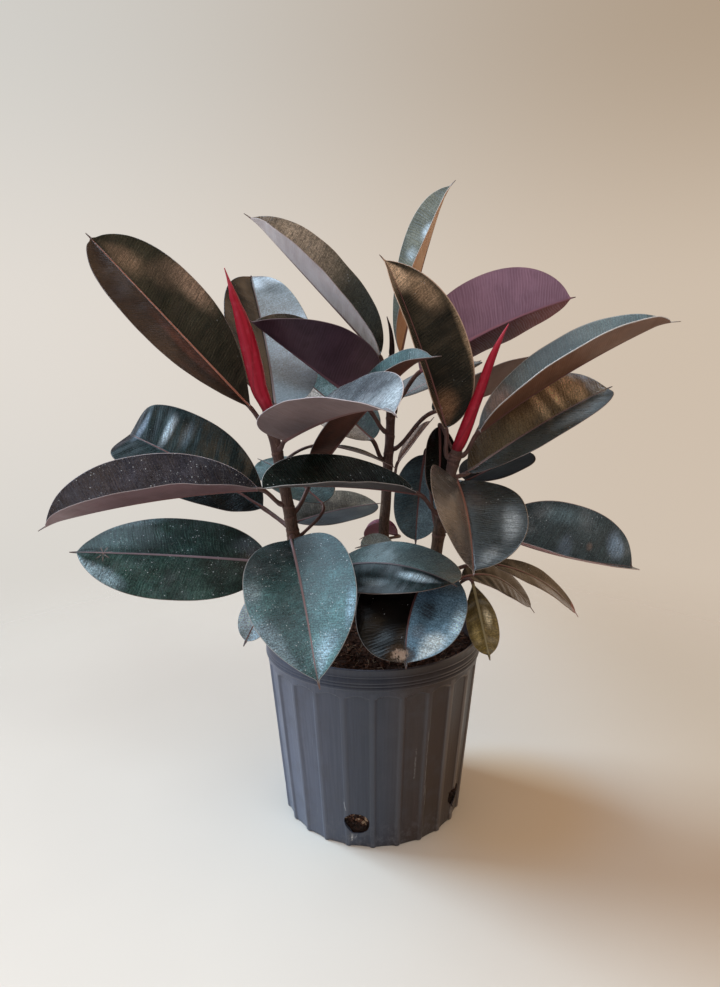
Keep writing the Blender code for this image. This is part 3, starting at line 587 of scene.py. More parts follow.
# In these looks the pale blue, silver, bronze and gold patches are painted highlights and reflections, and the
# near-black ones mostly painted shade.
LOOKS = {
    "leaf_left_01": ("bronze", dict(
        half_painted_light=(0.70, 1.0), minus=(0.080, 0.043, 0.030), plus=(0.020, 0.024, 0.014), haze=0.05, specks=0.12, gloss=0.30, rim_share=0.35,
        rib=(0.420, 0.170, 0.115), flick=(-4, 0, 4),
        patches=((0.34, -0.22, 0.30, 0.22, (0.17, 0.065, 0.042), 0.7), (0.83, 0.30, 0.13, 0.38, (0.26, 0.165, 0.105), 0.85), (0.56, 0.86, 0.17, 0.28, (0.38, 0.250, 0.170), 0.95),
                 (0.68, 0.60, 0.10, 0.30, (0.18, 0.120, 0.080), 0.7), (0.28, -0.80, 0.10, 0.12, (0.12, 0.05, 0.03), 0.4)))),
    # The right half's pale silvery blue, and its haze colour, are a painted reflection of the light from above.
    "leaf_left_02": ("grey", dict(
        half_painted_light=(0.35, 1.0), minus=(0.018, 0.018, 0.022), plus=(0.58, 0.81, 1.00), haze=0.1, grain=0.5, relief=0.6, specks=0.1, gloss=0.24, spec=1.0, rib=(0.34, 0.30, 0.34), rim_share=0.3,
        haze_colour=(0.80, 0.93, 1.00), vein_share=0.25, flick=(0, 8, 0), shape={"drip": 2.5},
        patches=((0.93, 0.55, 0.10, 0.5, (0.15, 0.21, 0.25), 0.8), (0.55, 1.02, 0.3, 0.10, (0.12, 0.17, 0.20), 0.6)))),
    "leaf_left_03": ("grey", dict(
        half_painted_light=(1.2, 1.0), top=(0.110, 0.125, 0.140), top2=(0.170, 0.185, 0.200), under=(0.260, 0.170, 0.160), under2=(0.205, 0.132, 0.125),
        under_vein=(0.42, 0.33, 0.33), rim=(0.7, 0.6, 0.6), rim_share=0.9, flick=(0, 0, -7),
        patches=((0.88, -0.5, 0.10, 0.7, (0.48, 0.54, 0.58), 0.8), (0.62, -0.6, 0.16, 0.5, (0.032, 0.030, 0.038), 0.85)))),
    "leaf_left_04": ("dark", dict(under=(0.14, 0.10, 0.08), rim_share=0.9)),
    "leaf_left_05": ("dark", dict(
        top=(0.036, 0.037, 0.054), top2=(0.062, 0.062, 0.084), vein=(0.085, 0.090, 0.115), specks=1.0, haze=0.45,
        haze_colour=(0.15, 0.17, 0.22), under=(0.220, 0.120, 0.130), under2=(0.170, 0.090, 0.096), rim=(0.46, 0.38, 0.38),
        rim_share=0.8, flick=(-4, 0, -6))),
    "leaf_left_06": ("teal", dict(
        under_gloss=0.62, half_painted_light=(1.3, 1.0), top=(0.034, 0.066, 0.068), top2=(0.050, 0.092, 0.094), under=(0.130, 0.030, 0.014), under2=(0.060, 0.014, 0.007), under_vein=(0.16, 0.05, 0.03), haze=0.4, specks=0.5,
        rim=(0.40, 0.36, 0.36), rim_share=0.9, flick=(9, 0, -3))),
    "leaf_left_07": ("teal", dict(
        half_painted_light=(0.6, 0.85), top=(0.015, 0.034, 0.038), top2=(0.022, 0.050, 0.056), ripple=0.32, dents=1.1, haze=0.15, specks=0.2, gloss=0.24,
        vein=(0.035, 0.062, 0.068), vein_share=0.8, tip_colour=(0.026, 0.012, 0.012), tip_reach=0.91, flick=(9, -2, -3),
        shape={"drip": 1.2, "tip": 3.6},
        patches=((0.90, 0.35, 0.030, 0.60, (0.30, 0.42, 0.56), 0.95), (0.735, 0.45, 0.040, 0.50, (0.66, 0.86, 1.00), 0.95),
                 (0.82, 0.30, 0.045, 0.6, (0.006, 0.007, 0.010), 1.0), (0.62, 0.5, 0.05, 0.4, (0.20, 0.29, 0.36), 0.7),
                 (0.30, 0.4, 0.24, 0.8, (0.008, 0.018, 0.018), 0.7)))),
    "leaf_left_08": ("grey", dict(half_painted_light=(0.45, 0.12), spec=0.38, top=(0.165, 0.150, 0.116), top2=(0.33, 0.30, 0.24), vein=(0.36, 0.33, 0.28), gloss=0.42, under=(0.12, 0.09, 0.07))),
    "leaf_left_09": ("teal", dict(
        grain=1.35, top=(0.040, 0.098, 0.106), top2=(0.060, 0.140, 0.148), haze=0.85, specks=1.0, gloss=0.33, rib=(0.28, 0.18, 0.19), rim=(0.46, 0.44, 0.43),
        rim_share=0.8, tip_colour=(0.16, 0.07, 0.045), tip_reach=0.955, flick=(2, 0, -5),
        patches=((0.74, 0.88, 0.20, 0.34, (0.30, 0.44, 0.52), 0.8), (0.84, -0.35, 0.16, 0.5, (0.32, 0.46, 0.56), 0.75),
                 (0.62, -0.90, 0.14, 0.16, (0.26, 0.38, 0.48), 0.6), (0.40, 0.85, 0.10, 0.22, (0.30, 0.40, 0.44), 0.6),
                 (0.16, 0.0, 0.16, 0.9, (0.020, 0.050, 0.050), 0.8)))),
    "leaf_left_10": ("teal", dict(half_painted_light=(1.35, 1.2), top=(0.060, 0.120, 0.125), top2=(0.085, 0.155, 0.160), plus=(0.115, 0.175, 0.180), haze=0.4, specks=0.4)),
    "leaf_left_11": ("green", dict(
        half_painted_light=(0.8, 0.55), minus=(0.028, 0.084, 0.072), plus=(0.012, 0.037, 0.031), grain=1.3, haze=0.65, specks=0.8, vein_share=0.9, gloss=0.31, rib=(0.25, 0.18, 0.20),
        scar="star", rim_share=0.5, flick=(-5, 0, 0),
        patches=((0.88, -0.80, 0.17, 0.38, (0.46, 0.66, 0.76), 0.95), (0.80, 0.45, 0.16, 0.5, (0.10, 0.17, 0.18), 0.6),
                 (0.70, 0.95, 0.2, 0.14, (0.20, 0.30, 0.33), 0.6), (0.34, -0.4, 0.24, 0.7, (0.012, 0.028, 0.024), 0.8),
                 (0.40, 0.4, 0.18, 0.6, (0.010, 0.026, 0.026), 0.7), (0.05, 0.0, 0.10, 0.9, (0.09, 0.050, 0.030), 0.8)))),
    "leaf_left_12": ("teal", dict(
        half_painted_light=(1.6, 0.35), minus=(0.092, 0.124, 0.126), plus=(0.014, 0.020, 0.022), haze=0.35, gloss=0.22, specks=0.15, dents=0.9, ripple=0.2,
        rib=(0.16, 0.12, 0.13), patches=((0.74, 0.30, 0.18, 0.20, (0.50, 0.64, 0.72), 0.9), (0.45, 0.62, 0.16, 0.16, (0.24, 0.32, 0.36), 0.7), (0.50, -0.5, 0.3, 0.3, (0.14, 0.19, 0.20), 0.5)))),
    "leaf_left_13": ("grey", dict(top=(0.38, 0.56, 0.68), top2=(0.46, 0.64, 0.76), gloss=0.5)),
    "leaf_middle_01": ("bronze", dict(
        top=(0.090, 0.084, 0.064), top2=(0.130, 0.112, 0.084), under=(0.95, 0.80, 0.74), under2=(0.86, 0.70, 0.65), under_vein=(0.98, 0.88, 0.84),
        under_gloss=0.42, rim_share=0.5, specks=0.12, haze=0.05, flick=(-6, 0, 1),
        patches=((0.76, 0.5, 0.34, 0.9, (0.46, 0.37, 0.29), 0.9), (0.14, 0.5, 0.30, 1.0, (0.020, 0.028, 0.024), 0.95)))),
    "leaf_middle_02": ("grey", dict(
        grain=0.7, top=(0.100, 0.096, 0.066), top2=(0.145, 0.136, 0.096), haze=0.08, specks=0.15, gloss=0.38, spec=0.4, under=(0.97, 0.58, 0.30),
        under2=(0.88, 0.46, 0.22), under_vein=(0.95, 0.56, 0.33), rim=(0.70, 0.63, 0.60), rim_share=0.8, flick=(7, 0, 0),
        patches=((0.70, -0.2, 0.07, 0.28, (0.52, 0.60, 0.66), 0.9), (0.56, -0.5, 0.06, 0.3, (0.40, 0.46, 0.50), 0.8)))),
    "leaf_middle_03": ("dark", dict(
        under_gloss=0.58, under_plus=(0.370, 0.200, 0.285), under_minus=(0.270, 0.032, 0.026), under=(0.35, 0.180, 0.255), under2=(0.11, 0.045, 0.072),
        under_vein=(0.62, 0.38, 0.50), rib_under=(0.42, 0.17, 0.22))),
    "leaf_middle_04": ("grey", dict(top=(0.085, 0.066, 0.048), top2=(0.125, 0.100, 0.078), haze=0.15, specks=0.2)),
    "leaf_middle_05": ("bronze", dict(
        top=(0.045, 0.040, 0.028), top2=(0.08, 0.06, 0.04), under=(0.090, 0.038, 0.056), under2=(0.058, 0.022, 0.035), under_vein=(0.15, 0.080, 0.110),
        rib_under=(0.18, 0.08, 0.10), rim=(0.34, 0.24, 0.25), rim_share=0.55)),
    "leaf_middle_06": ("teal", dict(under=(0.27, 0.145, 0.105), under2=(0.19, 0.090, 0.062), rim=(0.7, 0.62, 0.58), rim_share=0.8, haze=0.3)),
    "leaf_middle_07": ("grey", dict(top=(0.10, 0.185, 0.195), top2=(0.14, 0.23, 0.24), minus=(0.96, 0.92, 0.88), haze=0.4)),
    "leaf_middle_08": ("dark", dict(top=(0.50, 0.34, 0.27), top2=(0.58, 0.41, 0.33), under=(0.22, 0.12, 0.08), rim_share=0.9)),
    "leaf_middle_09": ("dark", dict(top=(0.20, 0.050, 0.080), top2=(0.24, 0.07, 0.10), under=(0.48, 0.20, 0.25), under2=(0.38, 0.15, 0.19), specks=0.05)),
    "leaf_middle_10": ("grey", dict(top=(0.38, 0.48, 0.48), top2=(0.48, 0.58, 0.58), gloss=0.45, specks=0.1)),
    "leaf_right_01": ("teal", dict(
        half_painted_light=(0.68, 1.0), grain=0.8, rim_side=1, minus=(0.100, 0.118, 0.112), top=(0.075, 0.100, 0.100), top2=(0.13, 0.15, 0.145), haze=0.4, under=(0.255, 0.110, 0.058), under2=(0.185, 0.074, 0.038),
        under_vein=(0.40, 0.23, 0.155), rim=(0.95, 0.93, 0.92), rim_share=1.0, rim_wide=2.6, flick=(8, 0, -4),
        patches=((0.14, -0.5, 0.12, 0.8, (0.26, 0.15, 0.10), 0.85), (0.52, -0.35, 0.16, 0.25, (0.050, 0.085, 0.092), 0.8)))),
    "leaf_right_02": ("dark", dict(half_painted_light=(0.3, 0.4), top=(0.010, 0.011, 0.008), top2=(0.03, 0.022, 0.015), plus=(0.020, 0.018, 0.013), spec=0.35, haze=0.05, specks=0.05, gloss=0.24)),
    "leaf_right_03": ("bronze", dict(
        half_painted_light=(1.0, 0.45), top=(0.026, 0.026, 0.016), top2=(0.042, 0.036, 0.022), gloss=0.25, haze=0.04, specks=0.12, under=(0.50, 0.34, 0.31),
        under2=(0.22, 0.10, 0.05), rim=(0.62, 0.42, 0.30), rim_share=0.8, rim_wide=1.7, flick=(-5, 0, 1),
        patches=((0.88, 0.25, 0.12, 0.42, (1.00, 0.70, 0.46), 1.0), (0.74, 0.62, 0.15, 0.36, (0.46, 0.30, 0.18), 0.9),
                 (0.42, 0.99, 0.28, 0.12, (0.40, 0.27, 0.16), 0.9), (0.10, 0.2, 0.12, 0.5, (0.36, 0.18, 0.09), 0.85),
                 (0.52, 0.35, 0.20, 0.5, (0.012, 0.014, 0.011), 0.85)))),
    "leaf_right_04": ("bronze", dict(
        half_painted_light=(0.9, 0.65), minus=(0.235, 0.165, 0.090), plus=(0.090, 0.125, 0.120), haze=0.35, specks=0.35, vein_share=0.95, ripple=0.2, rib=(0.24, 0.14, 0.12),
        gloss=0.28, patches=((0.74, -0.55, 0.22, 0.50, (0.46, 0.31, 0.17), 0.9), (0.45, -0.40, 0.16, 0.4, (0.34, 0.23, 0.12), 0.8),
                             (0.57, -0.45, 0.042, 0.5, PAINTED_GOLD_HIGHLIGHT, 0.9), (0.68, -0.50, 0.036, 0.50, PAINTED_GOLD_HIGHLIGHT, 1.0), (0.80, -0.50, 0.062, 0.55, PAINTED_GOLD_HIGHLIGHT, 1.0),
                             (0.93, -0.2, 0.07, 0.6, (0.40, 0.40, 0.36), 0.8), (0.72, 0.55, 0.2, 0.35, (0.38, 0.48, 0.52), 0.7)))),
    "leaf_right_05": ("dark", dict(
        half_painted_light=(0.5, 0.5), minus=(0.056, 0.068, 0.066), plus=(0.245, 0.200, 0.175), haze=0.55, dents=1.0, specks=0.35, gloss=0.28, rib=(0.20, 0.085, 0.065),
        rim=(0.36, 0.28, 0.22), rim_share=0.6, tip_reach=0.975,
        patches=((0.58, -0.72, 0.20, 0.22, (0.32, 0.38, 0.42), 0.8), (0.85, -0.45, 0.1, 0.3, (0.25, 0.29, 0.31), 0.6),
                 (0.30, -0.2, 0.18, 0.3, (0.050, 0.042, 0.032), 0.8), (0.40, 0.1, 0.3, 0.16, (0.10, 0.055, 0.042), 0.8)))),
    "leaf_right_06": ("dark", dict(top=(0.008, 0.009, 0.007), top2=(0.022, 0.022, 0.018), minus=(0.022, 0.010, 0.006), plus=(0.012, 0.010, 0.007), haze=0.03, specks=0.1, spec=0.08, gloss=0.50)),
    "leaf_right_07": ("teal", dict(half_painted_light=(1.0, 0.55), top=(0.085, 0.155, 0.190), top2=(0.14, 0.23, 0.27), minus=(0.160, 0.250, 0.300), haze=0.6, gloss=0.28)),
    "leaf_right_08": ("green", dict(
        spec=0.42, half_painted_light=(1.0, 0.3), top=(0.027, 0.058, 0.054), top2=(0.055, 0.082, 0.074), haze=0.2, specks=0.75, gloss=0.27, under=(0.045, 0.022, 0.023),
        under2=(0.034, 0.016, 0.018), under_minus=(0.016, 0.009, 0.008), under_vein=(0.08, 0.045, 0.04), rim=(0.52, 0.48, 0.46), rim_share=0.8,
        patches=((0.36, -0.2, 0.20, 0.9, (0.005, 0.006, 0.006), 0.95),))),
    "leaf_right_09": ("teal", dict(
        half_painted_light=(0.85, 1.0), top=(0.080, 0.100, 0.108), top2=(0.140, 0.158, 0.166), haze=0.5, specks=0.55, under=(0.46, 0.23, 0.24), under2=(0.38, 0.18, 0.19),
        rim=(0.48, 0.36, 0.34), rim_share=0.7, flick=(-3, 0, 0), shape={"drip": 2.2, "tip": 2.0},
        patches=((0.85, -0.50, 0.08, 0.40, (0.36, 0.50, 0.66), 0.8), (0.66, -0.30, 0.025, 0.10, (0.40, 0.29, 0.24), 0.6),
                 (0.50, -0.15, 0.06, 0.34, (0.22, 0.29, 0.38), 0.6), (0.42, -0.75, 0.2, 0.2, (0.20, 0.30, 0.33), 0.6)))),
    "leaf_right_10": ("dark", dict(
        half_painted_light=(1.6, 0.2), top=(0.010, 0.013, 0.012), top2=(0.018, 0.024, 0.024), minus=(0.110, 0.215, 0.310), plus=(0.002, 0.0025, 0.0025), haze=0.12,
        haze_colour=(0.14, 0.19, 0.22), gloss=0.22, dents=1.6, ripple=0.1, scar="burn", rim=(0.34, 0.33, 0.32), rim_share=0.7, spec=0.48,
        rib=(0.12, 0.06, 0.06),
        patches=((0.84, -0.62, 0.14, 0.34, (0.80, 0.95, 1.00), 0.95), (0.62, -0.90, 0.26, 0.20, (0.50, 0.74, 0.90), 0.9),
                 (0.52, -0.30, 0.16, 0.22, (0.016, 0.022, 0.024), 0.8), (0.72, -0.22, 0.08, 0.16, (0.18, 0.22, 0.26), 0.6)))),
    "leaf_right_11": ("olive", dict(
        half_painted_light=(0.8, 0.8), spec=0.35, vein=(0.080, 0.062, 0.034), top=(0.080, 0.068, 0.040), top2=(0.130, 0.110, 0.072), haze=0.15, under=(0.34, 0.18, 0.15), rim=(0.4, 0.28, 0.22), rim_share=0.8,
        tip_colour=(0.36, 0.14, 0.13), tip_reach=0.86)),
    "leaf_right_12": ("olive", dict(spec=0.3, half_painted_light=(0.4, 0.4), under=(0.070, 0.042, 0.022), under2=(0.050, 0.028, 0.015), under_vein=(0.100, 0.065, 0.036), vein=(0.070, 0.050, 0.022), top=(0.036, 0.030, 0.014), top2=(0.060, 0.047, 0.021), plus=(0.120, 0.108, 0.070), haze=0.15, ripple=0.35, rim=(0.34, 0.22, 0.2), rim_share=0.7)),
    "leaf_right_13": ("olive", dict(
        top=(0.056, 0.040, 0.008), top2=(0.120, 0.084, 0.022), haze=0.0, specks=0.0, gloss=0.34, ripple=1.1, dents=1.4, rib=(0.28, 0.23, 0.12),
        rim_share=0.3, minus=(0.150, 0.105, 0.040), plus=(0.095, 0.064, 0.011), patches=((0.45, -0.45, 0.16, 0.3, (0.75, 0.64, 0.42), 0.8), (0.62, 0.5, 0.2, 0.35, (0.34, 0.26, 0.10), 0.7)))),
}


def look_of(name):
    family, own = LOOKS[name]
    return {**PLAIN, **FAMILIES[family], **own}


def leaf_material(name, leaf, look, seed):
    material, t = new_material(name)
    length = float(leaf[6])
    blade = t.split(t.attribute("blade"))
    edge = t.split(t.attribute("edge"))
    along, side_mm, face = blade[0], blade[1], blade[2]
    margin, share, out = edge[0], edge[1], edge[2]
    reach = t.math("ABSOLUTE", side_mm)
    here = t.vector(along, side_mm, seed * 37.0)

    # Side veins leave the midrib at a steep angle and bend towards the tip.
    wander = t.noise(here, 0.035, 2.0)
    vein_at = t.add(t.sub(along, t.mul(reach, 0.36)), t.mul(t.mul(reach, reach), 0.0012))
    vein_at = t.add(vein_at, t.mul(t.sub(wander, 0.5), 7.0))
    streak_place = t.vector(t.mul(vein_at, 0.62), t.mul(side_mm, 0.030), seed * 5.0)
    streak = t.noise(streak_place, 1.0, 4.0, 0.62)
    coarse = t.math("SINE", t.mul(vein_at, 2 * math.pi / 6.4))
    lines = t.math("POWER", t.math("ABSOLUTE", coarse), 7.0)
    fine = t.math("SINE", t.mul(vein_at, 2 * math.pi / 1.9))
    inward = t.mul(t.step(reach, 1.5, 6.0), t.step(margin, 0.5, 4.0))
    lines = t.mul(lines, inward)
    streak_mask = t.step(streak, 0.42, 0.68)

    patches = t.noise(here, 0.016, 3.0, 0.6)
    zone = t.step(patches, look["zone"], look["zone"] + 0.16)
    top = t.mix(zone, look["top"], look["top2"])
    signed = t.mul(out, t.math("SIGN", side_mm))
    is_plus = t.step(side_mm, -0.5, 0.5)
    blend = t.step(patches, 0.30, 0.62, 0.92, 0.60)
    # Painted light: each half of the blade gets its own colour and its own lightness factor, for the light, shade and
    # reflection that half gets.
    if look["minus"]:
        top = t.mix(t.mul(t.sub(1.0, is_plus), blend), top, look["minus"])
    if look["plus"]:
        top = t.mix(t.mul(is_plus, blend), top, look["plus"])
    half_painted_light = t.add(t.mul(is_plus, look["half_painted_light"][1]), t.mul(t.sub(1.0, is_plus), look["half_painted_light"][0]))
    top = t.mix(1.0, top, t.vector(half_painted_light, half_painted_light, half_painted_light), "MULTIPLY")
    # Patches: most are painted highlights, reflections and shade, a few the leaf's own tints.
    for at, across, reach_at, reach_across, tint_and_painted_light, amount in look["patches"]:
        dx = t.mul(t.sub(share, at), 1.0 / reach_at)
        dy = t.mul(t.sub(signed, across), 1.0 / reach_across)
        away = t.math("SQRT", t.add(t.mul(dx, dx), t.mul(dy, dy)))
        away = t.add(away, t.mul(t.sub(patches, 0.5), 1.1))
        mask = t.mul(t.step(away, 1.15, 0.25), t.step(streak, 0.25, 0.66, 0.35, 1.0))
        top = t.mix(t.mul(mask, amount), top, tint_and_painted_light)
    veining = t.mul(t.add(t.mul(streak_mask, 0.6), t.mul(lines, 0.45)), t.mul(half_painted_light, look["vein_share"]))
    top = t.mix(veining, top, look["vein"], "LIGHTEN")
    hair = t.noise(t.vector(t.mul(vein_at, 1.5), t.mul(side_mm, 0.09), seed * 9.0), 1.0, 3.0, 0.6)
    grain = t.noise(here, 0.55, 4.0, 0.72)
    grain = t.mul(t.step(grain, 0.34, 0.68, 0.58, 1.50), t.step(hair, 0.32, 0.70, 0.70, 1.40))
    # Painted shade: darker towards the stalk, where the blade lies in the shade of the leaves around it.
    grain = t.mul(grain, t.mul(t.step(share, 0.0, 0.45, 0.60, 1.06), t.step(patches, 0.32, 0.68, 0.66, 1.32)))
    grain = t.add(t.mul(t.sub(grain, 1.0), look["grain"]), 1.0)
    top = t.mix(1.0, top, t.vector(grain, grain, grain), "MULTIPLY")

    # Dust and dried water, and painted sheen: a thin bluish film in patches, partly dust and partly a painted sheen,
    # and white flecks of dust.
    dust_and_sheen_film = t.noise(here, 0.028, 5.0, 0.68, 0.3)
    dust_and_sheen_film = t.mul(t.step(dust_and_sheen_film, 0.46, 0.74), t.add(0.55, t.mul(streak_mask, 0.6)))
    dust_and_sheen_film = t.mul(dust_and_sheen_film, t.mul(half_painted_light, look["haze"]))
    top = t.mix(t.mul(dust_and_sheen_film, 0.55), top, look["haze_colour"], "LIGHTEN")
    # Streaks along the veins, partly scuffs and partly a painted bluish sheen.
    scuff_and_sheen = t.noise(t.vector(t.mul(vein_at, 0.85), t.mul(side_mm, 0.20), seed * 13.0), 1.0, 4.0, 0.7)
    scuff_and_sheen = t.mul(t.step(scuff_and_sheen, 0.60, 0.74), t.step(t.noise(here, 0.04, 3.0, 0.6), 0.46, 0.62))
    scuff_and_sheen = t.mul(scuff_and_sheen, t.math("MINIMUM", half_painted_light, 1.0))
    top = t.mix(t.mul(scuff_and_sheen, min(0.75, 0.15 + 0.9 * look["haze"])), top, tuple(min(1.0, 1.9 * c) for c in look["haze_colour"]), "LIGHTEN")
    many = look["specks"]
    drop, dice = t.cells(t.vector(t.mul(along, 0.85), side_mm, seed * 37.0), 0.36)
    pick = t.split(dice)
    size = t.math("MULTIPLY_ADD", t.mul(pick[0], pick[0]), 0.24, 0.07)
    fleck = t.mul(t.step(drop, size, t.mul(size, 0.5)), t.step(pick[1], 0.90 - 0.62 * many, 0.93 - 0.62 * many))
    dust = t.noise(here, 1.3, 2.0, 0.8)
    fleck = t.math("MAXIMUM", fleck, t.mul(t.step(dust, 0.70 - 0.07 * many, 0.78 - 0.07 * many), 0.7))
    where = t.step(t.noise(here, 0.035, 3.0, 0.65), 0.57 - 0.19 * many, 0.65 - 0.19 * many, 0.06 * many, 1.0)
    fleck = t.mul(t.mul(fleck, where), min(1.0, 0.45 + 0.55 * many) if many > 0.01 else 0.0)
    top = t.mix(fleck, top, (0.62, 0.68, 0.72))

    rib_wide = t.add(t.mul(t.sub(1.0, share), 1.15), 0.45)
    rib = t.step(t.sub(reach, rib_wide), 0.55, -0.25)
    rib = t.mul(rib, t.step(share, 1.0, 0.9, 0.35, 1.0))
    top = t.mix(rib, top, look["rib"])
    rim = t.mul(t.step(margin, look["rim_wide"], 0.37 * look["rim_wide"]), look["rim_share"])
    if look["rim_side"]:
        rim = t.mul(rim, t.step(t.mul(side_mm, look["rim_side"]), -0.5, 0.5, 0.2, 1.0))
    top = t.mix(rim, top, look["rim"])

    # The underside: matt, with a paler net and a strong midrib.
    blotch = t.noise(here, 0.03, 4.0, 0.65)
    under = t.mix(t.step(blotch, 0.38, 0.64), look["under2"], look["under"])
    # Painted light: the two halves of the underside get their own colours, for the light and shade each half gets.
    if look["under_minus"]:
        under = t.mix(t.mul(t.sub(1.0, is_plus), 0.85), under, look["under_minus"])
    if look["under_plus"]:
        under = t.mix(t.mul(is_plus, 0.7), under, look["under_plus"])
    under_lines = t.add(t.mul(streak_mask, 0.35), t.mul(lines, 0.35))
    under = t.mix(t.mul(under_lines, 0.7), under, look["under_vein"])
    under_rib_wide = t.add(t.mul(t.sub(1.0, share), 1.9), 0.75)
    under_rib = t.step(t.sub(reach, under_rib_wide), 0.8, -0.2)
    under = t.mix(t.mul(under_rib, 0.85), under, look["rib_under"])
    under = t.mix(rim, under, look["rim"])

    is_top = t.step(face, 0.45, 0.55)
    colour = t.mix(is_top, under, top)
    tip = t.mul(t.step(share, look["tip_reach"], min(look["tip_reach"] + 0.03, 0.995)), 0.85)
    colour = t.mix(tip, colour, look["tip_colour"])

    harm = None
    if look["scar"] == "star":
        dx, dy = t.sub(along, 0.845 * length), t.sub(side_mm, -1.0)
        away = t.math("SQRT", t.add(t.mul(dx, dx), t.mul(dy, dy)))
        turn = t.math("ARCTAN2", dy, dx)
        ray = t.math("POWER", t.math("ABSOLUTE", t.math("SINE", t.add(t.mul(turn, 3.5), t.mul(wander, 2.0)))), 14.0)
        harm = t.mul(ray, t.step(away, 11.0, 5.0))
        harm = t.math("MAXIMUM", harm, t.step(away, 1.6, 0.7))
        colour = t.mix(t.mul(t.mul(harm, is_top), 0.8), colour, (0.33, 0.22, 0.20))
    if look["scar"] == "burn":
        dx, dy = t.sub(along, 0.90 * length), t.sub(side_mm, 6.0)
        away = t.math("SQRT", t.add(t.mul(dx, dx), t.mul(t.mul(dy, dy), 0.45)))
        away = t.add(away, t.mul(t.sub(t.noise(here, 0.22, 4.0, 0.7), 0.5), 9.0))
        harm = t.mul(t.step(away, 7.5, 4.0), t.step(t.noise(here, 0.30, 3.0, 0.6), 0.36, 0.52))
        ring = t.mul(t.step(away, 13.5, 8.0), 0.8)
        colour = t.mix(ring, colour, (0.045, 0.026, 0.014))
        colour = t.mix(harm, colour, t.mix(t.noise(here, 0.5, 3.0), (0.20, 0.12, 0.075), (0.55, 0.44, 0.36)))

    # The stalk, darker and browner towards the stem.
    stalk_share = t.step(along, 0.5, -1.5)
    stalk_tone = t.noise(t.vector(t.mul(along, 0.06), t.mul(side_mm, 0.4), seed * 3.0), 1.0, 4.0, 0.65)
    stalk_colour = t.mix(t.step(stalk_tone, 0.3, 0.7), tuple(0.55 * c for c in look["stalk"]), tuple(1.35 * c for c in look["stalk"]))
    colour = t.mix(stalk_share, colour, stalk_colour)

    rough_top = t.add(look["gloss"], t.add(t.mul(dust_and_sheen_film, 0.30), t.mul(t.sub(streak, 0.5), 0.16)))
    rough_top = t.add(rough_top, t.mul(fleck, 0.25))
    if harm is not None:
        rough_top = t.add(rough_top, t.mul(harm, 0.35))
    rough = t.add(t.mul(is_top, rough_top), t.mul(t.sub(1.0, is_top), look["under_gloss"]))
    rough = t.add(rough, t.mul(stalk_share, 0.12))
    height = t.add(t.mul(streak, 0.16), t.mul(lines, 0.05))
    height = t.add(height, t.mul(fine, 0.006))
    height = t.add(height, t.mul(t.noise(here, 0.35, 3.0, 0.6), 0.10))
    height = t.add(height, t.mul(fleck, 0.03))
    height = t.mul(height, look["relief"])
    t.surface(
        Base_Color=colour,
        Roughness=t.math("MAXIMUM", t.math("MINIMUM", rough, 0.95), 0.08),
        IOR=1.5,
        Specular_IOR_Level=look["spec"],
        Normal=t.bump(height),
    )
    return material


def across_samples(w):
    """Distances from the midrib at which a half of the blade is modelled, in
    millimetres: close together at the midrib and at the rim."""
    w = np.asarray(w, float)[:, None]
    k = np.clip(w / 12.0, 0.01, 1.0)
    near = np.array([0.8, 1.7, 2.8, 4.2]) * k
    inner, outer = 4.2 * k, w - 2.0 * k
    between = inner + (outer - inner) * np.linspace(0, 1, 9)[1:-1]
    rim = w - np.array([2.0, 0.9, 0.3]) * k
    return np.hstack([0 * w, near, between, rim, w])


def tip_curl(leaf, look, share):
    """How far the narrow tip bends aside, in millimetres."""
    start = 1.0 - 2.6 * DRIP / leaf[6]
    bend = np.clip((share - start) / (1 - start), 0, 1) ** 2
    return bend[:, None] * np.array(look["flick"], float)[None, :]


